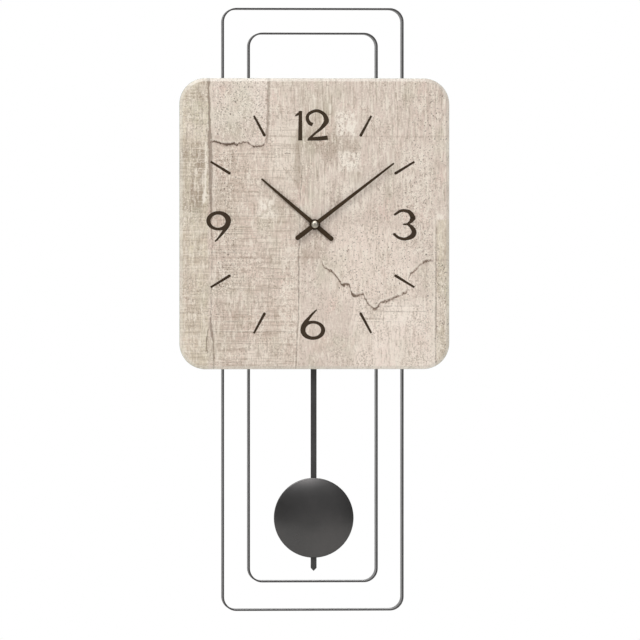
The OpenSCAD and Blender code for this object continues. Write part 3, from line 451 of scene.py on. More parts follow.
# The tones in the order in which they lie: boards, stains with the painted shadow under the hub, saw lines,
# chalk, then grain and pores.
WASHES = (
    Wash("#d2c4b0", 0.85, (60, 70), (0.20, 0.50), 2, BOARDS),
    Wash("#a29280", 0.88, (50, 30), (0.20, 0.50), 3, (LEFT_SHADE,)),
    Wash("#f0e3d8", 0.85, (30, 30), (0.22, 0.58), 3, (UPPER_LEFT,)),
    Wash("#c4b5a5", 0.80, (30, 60), (0.30, 0.60), 3, (NINE_FIELD,)),
    Wash("#dfcbbc", 0.60, (50, 50), (0.30, 0.60), 3, (MIDDLE_LEFT, LOWER_LEFT)),
    Wash("#e6d9cc", 0.60, (16, 40), (0.30, 0.60), 3, (TWELVE_LEFT,)),
    Wash("#bfb2a1", 0.75, (12, 50), (0.35, 0.60), 3, (TWELVE_BAND,)),
    Wash("#c0b0a1", 0.70, (30, 30), (0.20, 0.45), 2, (BROWN_FIELD, BROWN_STREAKS)),
    # Brown tones of the print; on the field below the shaft it is also a painted shadow of the hub and hands.
    Wash("#bfad9e", 0.50, (30, 30), (0.20, 0.45), 2,
         (HUB_SHADOW_FIELD, TWELVE_SHADE, THREE_SHADE, FOOT_SHADE, CRACK_SHADE)),
    Wash("#f3e7da", 0.60, (20, 20), (0.20, 0.50), 2, (LEFT_CHALK, FOOT_CHALK, PEELED)),
    Wash("#f4e4d8", 0.85, (50, 40), (0.20, 0.50), 3, PALE),
    Wash("#fff2e7", 0.80, (60, 40), (0.15, 0.45), 2, (UNDER_CRACK,)),
    Wash("#cbc9b3", 0.42, (34, 56), (0.50, 0.68), 3),
    Wash("#e2c6ba", 0.45, (30, 36), (0.52, 0.70), 3),
    Wash("#bcab9a", 0.32, (22, 60), (0.52, 0.70), 3),
    Wash("#f2e3d7", 0.65, (24, 40), (0.35, 0.60), 3, PALE),
    Wash("#e6dcc6", 0.60, (9, 60), (0.45, 0.62), 3, BOARDS),
    Wash("#a28f7d", 0.54, (36, 1.5), (0.50, 0.68), 2, SAWN + (LEFT_BOARD,)),
    Wash("#f1e6d8", 0.60, (30, 1.5), (0.50, 0.68), 2, SAWN + (LEFT_BOARD,)),
    Wash("#8c7a69", 0.40, (60, 1.0), (0.60, 0.70), 1, (LOWER_LEFT,)),
    Wash("#fff3e8", 0.45, (40, 20), (0.20, 0.50), 2, (CRACK_CHALK,)),
    Wash("#a39180", 0.50, (1.6, 14), (0.52, 0.70), 2, SAWN[:4] + BOARDS),
    Wash("#baa697", 0.50, (1.6, 14), (0.52, 0.70), 2, PALE),
    Wash("#f3e8da", 0.50, (1.7, 16), (0.52, 0.70), 2, BOARDS + (TWELVE_LEFT, CHALKED_EDGE)),
    Wash("#a69584", 0.42, (1.8, 8), (0.50, 0.68), 3),
    Wash("#f9f0e3", 0.58, (1.8, 8), (0.50, 0.68), 3),
    Wash("#a39280", 0.58, (2.0, 24), (0.50, 0.70), 3, STREAKS),
    Wash("#f5ecde", 0.75, (2.4, 26), (0.50, 0.68), 3, STREAKS),
    Wash("#faf1e5", 0.90, (3.0, 6), (0.43, 0.55), 5, (CHALK_HIGH, CHALK_LOW, CHALK_NOTCH, CHALK_CHIP)),
    Wash("#f3e8db", 0.75, (6, 9), (0.50, 0.62), 5, (CHALKED_EDGE, SPECKLED)),
    Wash("#f6ebde", 0.80, (3, 9), (0.38, 0.56), 4, (CHALK_SHOULDER,)),
    Wash("#9b8a79", 0.70, (1.7, 1.7), (0.50, 0.70), 2, (), 26),
    Wash("#f5ebde", 0.75, (1.7, 1.7), (0.50, 0.70), 2, (), 22),
    Wash("#7d6b5b", 0.70, (1.5, 1.5), (0.54, 0.70), 1, ROUGH + (CHALK_HIGH, CHALK_LOW), 14),
    Wash("#8f7d6d", 0.60, (1.5, 1.5), (0.54, 0.70), 1, (UNDER_CRACK,), 14),
    Wash("#faf1e5", 0.80, (1.5, 1.5), (0.52, 0.68), 1, ROUGH + (CHALKED_EDGE, CHALK_LOW), 14),
    Wash("#55463a", 0.80, (1.8, 1.8), (0.66, 0.72), 1, ROUGH + (RIGHT_EDGE, MIDDLE)),
)
# The joints and cracks, then the saw's longest strokes.
SEAMS = (
    Seam(((146, -106.5, 1.3), (118, -105.6, 1.2), (96, -104.9, 1.4), (80, -104.4, 2.0), (60, -104.2, 2.0),
          (30, -104.0, 1.6), (12, -103.6, 0.9), (-6, -103.4, 0.7), (-20, -102.6, 0.2), (-60, -103.2, 0.2),
          (-92, -104.0, 0.6), (-104, -103.6, 1.3), (-114, -102.2, 0.9), (-126, -101.2, 0.6),
          (-146, -100.9, 0.6)), True, 0.8, 9, strength=0.62, lip=2.6, glow=0.25),
    Seam(((86, -110.0, -0.6), (80, -109.2, 0.5), (60, -108.8, 0.7), (40, -109.4, 0.8), (26, -110.4, 1.4),
          (20, -111.0, -0.6)), True, 1.0, 6, dark="#f4ebdf", strength=0.9, glow=0.0),
    Seam(((-98, -104.6, -0.5), (-106, -106.2, 0.5), (-120, -108.4, 0.5), (-130, -107.4, 0.3),
          (-134, -106.0, -0.6)), True, 0.8, 6, glow=0.0),
    Seam(((146, -45.7, 1.0), (120, -46.3, 1.2), (100, -46.8, 1.3), (86, -47.4, 0.9), (80, -47.8, -0.6)),
         True, 0.7, 8, dark="#806f60", strength=0.5, lip=2.2, glow=0.3, soft=0.9),
    Seam(((-106, 82, -0.9), (-101, 82.9, 0.7), (-95.3, 81.4, 0.8), (-92.4, 80.7, 0.9), (-86.7, 80, 1.2),
          (-80.3, 80.7, 1.2), (-78.8, 79.3, 0.9), (-75.3, 80.7, 0.6), (-72.4, 81.4, 0.7),
          (-68.1, 82.2, 0.7), (-63.8, 79.3, 0.6), (-59.6, 77.9, 0.7), (-51, 79.3, 0.6),
          (-49.6, 83.6, 0.5), (-48, 88, -0.6)), False, 1.6, 2.2, dark="#5f4e42", strength=0.95,
         lip=2.2, glow=0.45, stain=0.5),
    Seam(((84, -17, -0.4), (66, -15, 0.35), (50, -13, 0.3), (34, -14, 0.3), (8, -14.6, 0.2),
          (-15, -15, 0.5), (-46, -16, 0.7), (-86, -16, 0.6), (-112, -17.4, 0.5), (-140, -18.6, 0.5)),
         True, 0.6, 14, strength=0.55, lip=1.6, glow=0.35),
    Seam(((98, -17, -2.0), (90, -17, 1.4), (64, -17, 1.8), (44, -17, 1.6), (32, -17, -2.0)), True, 0.8, 9,
         dark="#a3917f", strength=0.4, glow=0.0, soft=2.0),
    Seam(((5.9, -33.2, -0.6), (10.3, -43.2, 0.4), (12.8, -44.5, 0.5), (17.8, -47.6, 0.6), (21.6, -52, 0.7),
          (25.3, -57, 0.9), (28.4, -60.7, 1.2), (33, -59.8, 1.2), (35.2, -61.5, 1.3), (36.6, -68, 1.2),
          (38.5, -70.4, 0.9), (42, -71, 0.8), (48.4, -70.1, 0.7), (50.3, -73.2, 0.8), (53.4, -78.2, 0.9),
          (56.6, -82, 0.9), (60, -84.5, 0.9), (66.3, -78.7, 0.9), (74.1, -76.3, 0.8), (81.3, -72.7, 0.6),
          (89.1, -69.5, 0.6), (92.8, -66.7, 0.5), (94, -56, 0.6), (96, -50, 0.6), (99.1, -46.7, 0.7),
          (102.8, -43.7, 0.6), (106.3, -40.1, 0.6), (112.8, -36.7, 0.6), (120.3, -35.7, -0.5)),
         False, 1.9, 2.4, dark="#665445", strength=0.9, lip=2.4, glow=0.55, stain=0.6),
    Seam(((8, 121.4, -0.4), (2, 121.6, 0.4), (-30, 121.8, 0.6), (-70, 121.8, 0.5), (-84, 121.8, 1.0),
          (-104, 121.6, 0.9), (-120, 121.6, 0.4), (-142, 121.9, 0.4)), True, 0.5, 12, strength=0.5,
         lip=-1.8, glow=0.5),
    Seam(((-34, 116.5, -2.5), (-44, 116.5, 1.6), (-90, 117, 2.2), (-146, 117, 1.6)), True, 0.8, 9,
         dark="#f3e8da", strength=0.4, glow=0.0, soft=1.6),
    Seam(((-31, 71, -0.6), (-29, 71, 0.4), (-25.5, 71, 0.6), (-23.5, 70.4, -0.6)), False, 0.5, 3,
         strength=0.8, glow=0.0),
    *(Seam(((left - 6, z, -0.5), (left, z, 0.2), (right, z, 0.1), (right + 8, z, -0.5)), False, 0.25, 24,
           strength=0.5, lip=0.9, glow=0.3)
      for z, left, right in ((-89.7, -98, -50), (-97.2, -98, -52), (-107.2, -98, -26), (-118.8, -94, -50),
                             (-27.6, -98, -62), (8.4, -98, -50), (-81.7, 72, 100), (-87.2, 66, 108),
                             (-97.2, 50, 84), (-75.5, 74, 96))),
)


@dataclass(frozen=True)
class DialPrint:
    """Weathered, limewashed boards printed under float glass, whose face gives a sharp clear coat.

    Attributes:
        name: Name of the material.
        base: sRGB colour between the tones.
        veil: sRGB colour of a painted glow laid over the print, which stands in for the light that the ground
            facet catches.
        veil_share: How much of it.
        coat_rough: Roughness of the clear face.
        waver: How far the fields' borders and the broad stains stray, in mm.
        stray: Size of that waver in mm.
        straight: Grain in mm up to which a tone runs straight, as saw lines and streaks do.
        ior: Index of refraction of the glass.
        matt: Roughness of the print under it.
        lip_colour: sRGB colour of the pale lip beside a seam.
        stain_colour: sRGB colour of the stain beside a seam.
        lip_fade: How far the lip's edge fades, in mm.
        stain_fade: How far the stain's edge fades, in mm.
        full: How far inside its edge a line is full, in mm.
        uneven: Most that a seam's half width changes along it, in mm.
        uneven_size: Length of those changes in mm.
        hop: How far each wash's noise is moved on from the last one's.
        clump_hop: The same for the noise of its clumps.
        clumps: Noise values between which clumps begin and are full, and their least and most cover.
    """

    name: str
    base: str = "#dfcfc3"
    veil: str = "#dcdacf"
    veil_share: float = 0.0
    coat_rough: float = 0.03
    waver: float = 7.0
    stray: float = 22.0
    straight: float = 3.0
    ior: float = 1.52
    matt: float = 0.6
    lip_colour: str = "#f3eadd"
    stain_colour: str = "#a58f80"
    lip_fade: float = 0.9
    stain_fade: float = 2.2
    full: float = 0.4
    uneven: float = 0.45
    uneven_size: float = 5.0
    hop: tuple[float, float, float] = (7.3, 3.1, 5.7)
    clump_hop: tuple[float, float, float] = (11.9, 0.0, 4.3)
    clumps: tuple[float, float, float, float] = (0.38, 0.62, 0.15, 1.0)

    def material(self) -> bpy.types.Material:
        """Build the print once.

        Returns:
            The material: washes and seams laid over the base one after the other, under a clear face.
        """
        made = bpy.data.materials.get(self.name)
        if made:
            return made
        material, add = new_material(self.name)
        place = millimetres(add)
        stray = add("TexNoise", place, 1 / self.stray, 3.0, 0.6).outputs["Color"]
        centred = add("VectorMath", stray, (0.5, 0.5, 0.5), operation="SUBTRACT")
        waver = add("VectorMath", centred, named={"Scale": self.waver}, operation="SCALE")
        wavy = add("VectorMath", place, waver, operation="ADD")
        tone: Input = linear(self.base)
        masks: dict[Patch, Node] = {}
        for number, wash in enumerate(WASHES):
            share = self.wash_share(add, wash, place, wavy, number, masks)
            tone = add("Mix", share, tone, linear(wash.colour), data_type="RGBA")
        for seam in SEAMS:
            tone = self.lay_seam(add, seam, place, tone)
        # A pale painted glow over the print where the facet catches light; none on the flat face.
        tone = add("Mix", self.veil_share, tone, linear(self.veil), data_type="RGBA")
        surface = add("BsdfPrincipled", named={
            "Base Color": tone, "Roughness": self.matt, "IOR": self.ior, "Specular IOR Level": 0.0,
            "Coat Weight": 1.0, "Coat Roughness": self.coat_rough, "Coat IOR": self.ior})
        add("OutputMaterial", surface)
        return material

    def wash_share(self, add: AddNode, wash: Wash, place: Node, wavy: Node,
                   number: int, masks: dict[Patch, Node]) -> Node:
        """How much of a wash lies at each point.

        Args:
            add: Adds a node to the tree.
            wash: The tone.
            place: Place in mm.
            wavy: The same with its waver.
            number: Place in the row of washes, which moves its noise away from the others.
            masks: Fields already built, by patch.

        Returns:
            Node with amount * smoothstep(noise, cut) * its strongest field * smoothstep of its clumps.
        """
        across, up = wash.grain
        ground = place if min(wash.grain) <= self.straight else wavy
        moved = tuple(number * step for step in self.hop)
        scaled = add("Mapping", ground, moved, None, (1 / across, 1 / across, 1 / up))
        noise = add("TexNoise", scaled, 1.0, wash.detail, 0.6)
        share = add("MapRange", noise, *wash.cut, 0.0, wash.amount, **SMOOTH)
        field_share = None
        for patch in wash.patches:
            if patch not in masks:
                masks[patch] = patch.mask(add, wavy)
            mask = masks[patch]
            field_share = mask if field_share is None else add("Math", field_share, mask, operation="MAXIMUM")
        if field_share is not None:
            share = add("Math", share, field_share, operation="MULTIPLY")
        if wash.clump:
            shifted = add("Mapping", wavy, tuple(number * step for step in self.clump_hop))
            heaps = add("TexNoise", shifted, 1 / wash.clump, 2.0, 0.6)
            heaped = add("MapRange", heaps, *self.clumps, **SMOOTH)
            share = add("Math", share, heaped, operation="MULTIPLY")
        return share

    def lay_seam(self, add: AddNode, seam: Seam, place: Node, tone: Input) -> Node:
        """Lay a seam's pale lip, stain and dark line over the print.

        Args:
            add: Adds a node to the tree.
            seam: The joint or crack.
            place: Place in mm.
            tone: Colour so far.

        Returns:
            Node with the new colour. A point's distance is |across - course(along) - stray|, and the line
            covers it where that is less than the half width.
        """
        axes = add("SeparateXYZ", place)
        along, across = (axes.outputs[axis] for axis in ((2, 0) if seam.upright else (0, 2)))
        stations = np.array(sorted(seam.course))
        low, high = stations.min(0), stations.max(0)
        # A column that stays the same keeps a share of 0.
        shares = (stations - low) / np.where(high > low, high - low, 1)
        run = add("MapRange", along, low[0], high[0])
        followed = []
        for column in (1, 2):
            curve = add("FloatCurve", 1.0, run)
            knots = curve.mapping.curves[0].points
            for _ in range(len(shares) - len(knots)):
                knots.new(0.5, 0.5)
            for knot, share in zip(knots, shares):
                knot.location, knot.handle_type = (share[0], share[column]), "AUTO_CLAMPED"
            curve.mapping.update()
            followed.append(add("MapRange", curve, 0.0, 1.0, low[column], high[column]))
        line, half = followed
        noise = add("TexNoise", place, 1 / seam.waves, 3.0, 0.7)
        stray = add("MapRange", noise, 0.25, 0.75, -seam.ragged, seam.ragged)
        bent = add("Math", line, stray, operation="ADD")
        distance = add("Math", across, bent, operation="SUBTRACT")
        uneven = add("TexNoise", place, 1 / self.uneven_size, 2.0, 0.6)
        change = add("MapRange", uneven, 0.3, 0.7, -self.uneven, self.uneven)
        wide = add("Math", half, change, operation="ADD")
        layers = ((self.lip_colour, seam.lip, self.lip_fade, seam.glow),
                  (self.stain_colour, 0.0, self.stain_fade, seam.stain),
                  (seam.dark, 0.0, seam.soft, seam.strength))
        for colour, offset, fade, cover in layers:
            if not cover:
                continue
            shifted = add("Math", distance, offset, operation="SUBTRACT")
            away = add("Math", shifted, operation="ABSOLUTE")
            inside = add("Math", wide, away, operation="SUBTRACT")
            share = add("MapRange", inside, -fade, self.full, 0.0, cover, **SMOOTH)
            tone = add("Mix", share, tone, linear(colour), data_type="RGBA")
        return tone


# Float glass printed on its back and seen through the face: sharp gloss over soft tones.
BOARD_PRINT = DialPrint("limewashed_boards_under_glass")
# The same print seen through the ground and polished facet, with a pale painted glow over it for the light
# that the facet catches.
FACET_PRINT = DialPrint("limewashed_boards_under_facet", veil_share=0.3, coat_rough=0.3)
# Float glass at its polished side: pale grey-green, IOR 1.52, nearly mirror smooth.
GLASS_SIDE = Finish("float_glass_polished_side", "printed_glass", "#b7c3b8", "#a5b3a9", 30, 0.8, 0.003,
                    (0.05, 0.09), ior=1.52, coat=0.6, coat_rough=0.03)
# The print's rear: opaque white backing ink over the colours, dull.
PRINT_BACK = Finish("screen_ink_backing", "printed_glass", "#d9d5cc", "#cfcac0", 18, 0.4, 0.006, (0.5, 0.6))
# Screen ink under the same glass: dark brown with the face's gloss.
NUMERAL_INK = Finish("screen_ink_dark_brown", "printed_glass", "#37291a", "#3e3021", 9, 0.4, 0.0,
                     (0.5, 0.6), ior=1.52, gleam=0.0, coat=1.0, coat_rough=0.03)
# Closed-cell foam tape: dull white with open cells at its cut edge.
FOAM_TAPE = Finish("polyethylene_foam_tape", "foam_tape", "#e3e1da", "#d2cfc6", 6, 0.35, 0.08, (0.8, 0.95))
# Fibreboard in sprayed black lacquer: faint orange peel, satin.
BOARD_LACQUER = Finish("fibreboard_black_lacquer", "lacquered_board", "#201f20", "#2b2a2a", 20, 1.4, 0.02,
                       (0.38, 0.5), coat=0.25, coat_rough=0.3)
# Folded sheet in powder coat: even orange peel of about 1 mm, satin, with a dusty tone in the folds.
CASE_COAT = Finish("graphite_powder_coat", "case_metal", "#2f2d2e", "#393737", 30, 0.9, 0.03, (0.42, 0.52),
                   coat=0.2, coat_rough=0.3)
# Strip steel in graphite metallic lacquer: flake under a thin satin clear, brighter at a glancing angle.
STRIP_LACQUER = Finish("graphite_metallic_lacquer", "strip_metal", "#4c4b4b", "#545252", 40, 0.5, 0.001,
                       (0.42, 0.48), 0.55, None, coat=0.1, coat_rough=0.3, grain=Grain.ALONG_Z)
# The same lacquer in anthracite on the pendulum's strip.
ROD_LACQUER = Finish("anthracite_lacquered_strip", "strip_metal", "#424141", "#494848", 40, 0.5, 0.001,
                     (0.42, 0.48), 0.55, None, coat=0.1, coat_rough=0.3, grain=Grain.ALONG_Z)
# Bright zinc plate over steel: blue-white, with soft spangle and fine wear.
ZINC_PLATE = Finish("bright_zinc_plate", "zinc_steel", "#b9bcbf", "#a3a5a3", 3, 0.6, 0.008, (0.24, 0.4), 1.0,
                    None)
# Soft polyurethane pad: dull black with a fine skin.
PAD_RUBBER = Finish("polyurethane_pad", "pad_rubber", "#262626", "#303030", 5, 0.3, 0.02, (0.6, 0.75))
# Moulded ABS with spark texture: the real grit is about 0.1 mm and is drawn at 0.45 mm so that it shows.
SPARK_ABS = Finish("abs_black_spark_texture", "black_moulding", "#1f1f21", "#2a2a2c", 14, 0.45, 0.035,
                   (0.45, 0.6))
# Shrink film on a dry cell: printed plain blue, glossy, lying over the can's steel.
CELL_FILM = Finish("cell_shrink_film", "cell_jacket", "#2c4a6b", "#27435f", 10, 1.2, 0.004, (0.25, 0.32),
                   coat=0.5, coat_rough=0.08)
# Drawn nickel-plated can of the cell: bright, with faint drawing lines along it.
CELL_CAN = Finish("nickel_plated_can", "cell_jacket", "#c3bfb6", "#aaa69d", 6, 0.3, 0.006, (0.2, 0.32), 1.0,
                  None, grain=Grain.ALONG_Z)
# Nickel-plated spring strip: warm white metal, rolled.
NICKEL_STRIP = Finish("nickel_plated_strip", "nickel_strip", "#bdb8ac", "#a39e93", 4, 0.25, 0.006,
                      (0.25, 0.38), 1.0, None, grain=Grain.ALONG_X)
# Green solder mask on glass-epoxy laminate: half gloss, with the weave faint under it.
SOLDER_MASK = Finish("laminate_green_mask", "circuit_laminate", "#2b5f3c", "#255335", 3, 0.7, 0.01,
                     (0.3, 0.4), coat=0.3)
# Potting resin cast over a chip: black and glossy.
CAST_RESIN = Finish("cast_epoxy_resin", "black_epoxy", "#151515", "#1c1c1c", 3, 0.8, 0.02, (0.15, 0.25),
                    coat=0.3)
# Enamelled copper wire: the real wire is 0.05 mm and is drawn 0.35 mm apart so that the turns show.
MOTOR_WIRE = Finish("enamelled_copper_turns_across", "copper_winding", "#b2622f", "#96502a", 3, 0.35, 0.08,
                    (0.25, 0.35), 0.9, None, coat=0.4, winding=Winding.STEPS_X)
DRIVE_WIRE = Finish("enamelled_copper_turns_out", "copper_winding", "#b2622f", "#96502a", 3, 0.35, 0.08,
                    (0.25, 0.35), 0.9, None, coat=0.4, winding=Winding.STEPS_OUT)
# Sintered ferrite or rare-earth magnet: dark grey, fine grit, ground faces.
MAGNET = Finish("sintered_magnet", "magnet_alloy", "#77777a", "#66666a", 2, 0.25, 0.01, (0.35, 0.5), 0.8,
                None)
# Moulded acetal: ivory white and waxy, smooth from the mould.
ACETAL = Finish("moulded_acetal", "wheel_acetal", "#e4dfd0", "#dad4c3", 5, 0.6, 0.006, (0.32, 0.42), ior=1.48)
# Spring brass: rolled, bright, slightly tarnished.
SPRING_BRASS = Finish("spring_brass_rolled", "spring_brass", "#c9a558", "#a98845", 2, 0.3, 0.005, (0.25, 0.4),
                      1.0, None)
# Stamped strip in dark brown stoving enamel: satin, smooth.
HAND_ENAMEL = Finish("brown_stoving_enamel", "hand_paint", "#392b1c", "#403222", 10, 0.5, 0.002, (0.5, 0.56),
                     gleam=0.15)
# Turned brass cap in satin nickel: warm silver, whose turning lines draw the highlight out into a wedge.
CAP_NICKEL = Finish("satin_nickel_plate", "cap_silver", "#c2bbae", "#b0a99c", 2, 0.12, 0.001, (0.38, 0.44),
                    1.0, None, turned=0.8)
# Pressed steel disc in anthracite metallic lacquer: satin, spun smooth before it was sprayed.
BOB_LACQUER = Finish("anthracite_metallic_lacquer", "bob_metal", "#545353", "#5b5959", 45, 0.6, 0.002,
                     (0.27, 0.32), 0.85, None, coat=0.2, coat_rough=0.2)


@dataclass
class Grid:
    """A surface as a grid of points.

    Attributes:
        points: Array (u, v, 3) of x, d and z in mm.
        round_u: Whether the last row joins the first.
        round_v: Whether the last column joins the first.
        lids: Whether one face closes the first row, and one the last.
        finish: Place of its finish in the piece's list.
    """

    points: Points
    round_u: bool = False
    round_v: bool = False
    lids: bool = False
    finish: int = 0

    def faces(self, first: int) -> list[tuple[int, ...]]:
        """Corners of each face.

        Args:
            first: Number of the grid's first point in the mesh.

        Returns:
            A quad for each cell of the grid, then the lids.
        """
        rows, columns = self.points.shape[:2]
        index = first + np.arange(rows * columns).reshape(rows, columns)
        lids = [tuple(index[0].tolist()), tuple(index[-1].tolist())] if self.lids else []
        if self.round_u:
            index = np.vstack([index, index[:1]])
        if self.round_v:
            index = np.hstack([index, index[:, :1]])
        quads = np.stack([index[:-1, :-1], index[1:, :-1], index[1:, 1:], index[:-1, 1:]], -1)
        return [tuple(quad) for quad in quads.reshape(-1, 4).tolist()] + lids


def rounded_outline(width: float, height: float, radius: float, steps: int) -> tuple[Points, Points]:
    """Closed outline of a rectangle with round corners, about its own middle.

    Args:
        width: Size along the first axis.
        height: Size along the second axis.
        radius: Corner radius.
        steps: Spans on each corner.

    Returns:
        Points and unit outward normals, (n, 2) each: each corner is its centre, one radius in from both
        sides, plus radius times (cos, sin) over its quarter turn.
    """
    turn = np.arange(4)[:, None] * np.pi / 2 + np.linspace(0, np.pi / 2, steps + 1)
    normals = np.stack([np.cos(turn), np.sin(turn)], -1)
    centres = np.array([[1, 1], [-1, 1], [-1, -1], [1, -1]]) * (np.array([width, height]) / 2 - radius)
    return (centres[:, None] + radius * normals).reshape(-1, 2), normals.reshape(-1, 2)


def revolve(profile: Points, centre: tuple[float, float], steps: int, finish: int = 0) -> Grid:
    """Turn a profile about a line out from the wall.

    Args:
        profile: (n, 2) points as radius and d. Ends at radius 0 close the shape.
        centre: x and z of the line.
        steps: Spans round the circle.
        finish: Place of its finish in the piece's list.

    Returns:
        Grid of centre + radius * (cos, sin) at each d.
    """
    turn = full_turn(steps)
    radius, depth = profile.T
    flat = np.stack([centre[0] + radius * np.cos(turn), centre[1] + radius * np.sin(turn)], -1)
    return Grid(at_depth(flat, depth), round_u=True, finish=finish)


# Angles of the rows on a pen stroke's round end, from its tip back.
ROUND_END = np.radians(np.linspace(88, 15, 5))[:, None]


def stroke(stations: Points, back: float, front: float, blunt: tuple[bool, bool], spans: int = 8) -> Grid:
    """A pen stroke with a changing width, as a thin plate.

    Args:
        stations: (n, 3) points of the middle line as x, z and width.
        back: d of its rear face.
        front: d of its front face.
        blunt: Whether the first and the last end are cut straight; the others are round.
        spans: Spans between two stations.

    Returns:
        Grid round the plate's section. The middle line is a Catmull-Rom spline, which passes each station
        with half the difference of its neighbours as slope, and the edges lie half a width to both sides of
        it. A round end adds rows at r * sin(a) beyond the end with the width times cos(a).
    """
    padded = np.vstack([2 * stations[0] - stations[1], stations, 2 * stations[-1] - stations[-2]])
    t = np.linspace(0, 1, spans, endpoint=False)[:, None]
    before, here, after, later = padded[:-3, None], padded[1:-2, None], padded[2:-1, None], padded[3:, None]
    curve = 0.5 * (2 * here + (after - before) * t + (2 * before - 5 * here + 4 * after - later) * t ** 2
                   + (3 * here - before - 3 * after + later) * t ** 3)
    curve = np.vstack([curve.reshape(-1, 3), stations[-1]])
    slope = np.gradient(curve[:, :2], axis=0)
    slope /= np.linalg.norm(slope, axis=1, keepdims=True)
    for end, sign in ((0, -1), (-1, 1)):
        if blunt[end]:
            continue
        reach = sign * slope[end] * np.sin(ROUND_END) * curve[end, 2] / 2
        tip = np.hstack([curve[end, :2] + reach, curve[end, 2] * np.cos(ROUND_END)])
        slopes = np.repeat(slope[end][None], len(tip), 0)
        curve = np.vstack([tip, curve]) if end == 0 else np.vstack([curve, tip[::-1]])
        slope = np.vstack([slopes, slope]) if end == 0 else np.vstack([slope, slopes])
    side = np.stack([-slope[:, 1], slope[:, 0]], -1) * curve[:, 2:] / 2
    edges = np.stack([curve[:, :2] + sign * side for sign in (-1, -1, 1, 1)], 1)
    return Grid(at_depth(edges, (back, front, front, back)), round_v=True, lids=True)


def bowl(outer: tuple[float, ...], inner: tuple[float, ...], back: float, front: float,
         steps: int = 96) -> Grid:
    """The round part of a 6 or 9: a thin plate between two ellipses.

    Args:
        outer: x and z of the centre, then half width and half height, of the outer ellipse.
        inner: The same of the inner ellipse.
        back: d of its rear face.
        front: d of its front face.
        steps: Spans round it.

    Returns:
        Grid round the plate's section at each angle.
    """
    turn = full_turn(steps)[:, 0]
    edges = np.stack([np.stack([e[0] + e[2] * np.cos(turn), e[1] + e[3] * np.sin(turn)], -1)
                      for e in (outer, outer, inner, inner)], 1)
    return Grid(at_depth(edges, (back, front, front, back)), round_u=True, round_v=True)


# Metres up to which points are one, on a made piece and on a CAD node.
WELD, CAD_WELD = 1e-7, 1e-6
# Degrees from which a CAD edge is broken, from which shading stays sharp, and up to which faces are one.
BREAK_ANGLE, SHARP_ANGLE, FLAT_ANGLE = 35.0, 34.0, 1.0


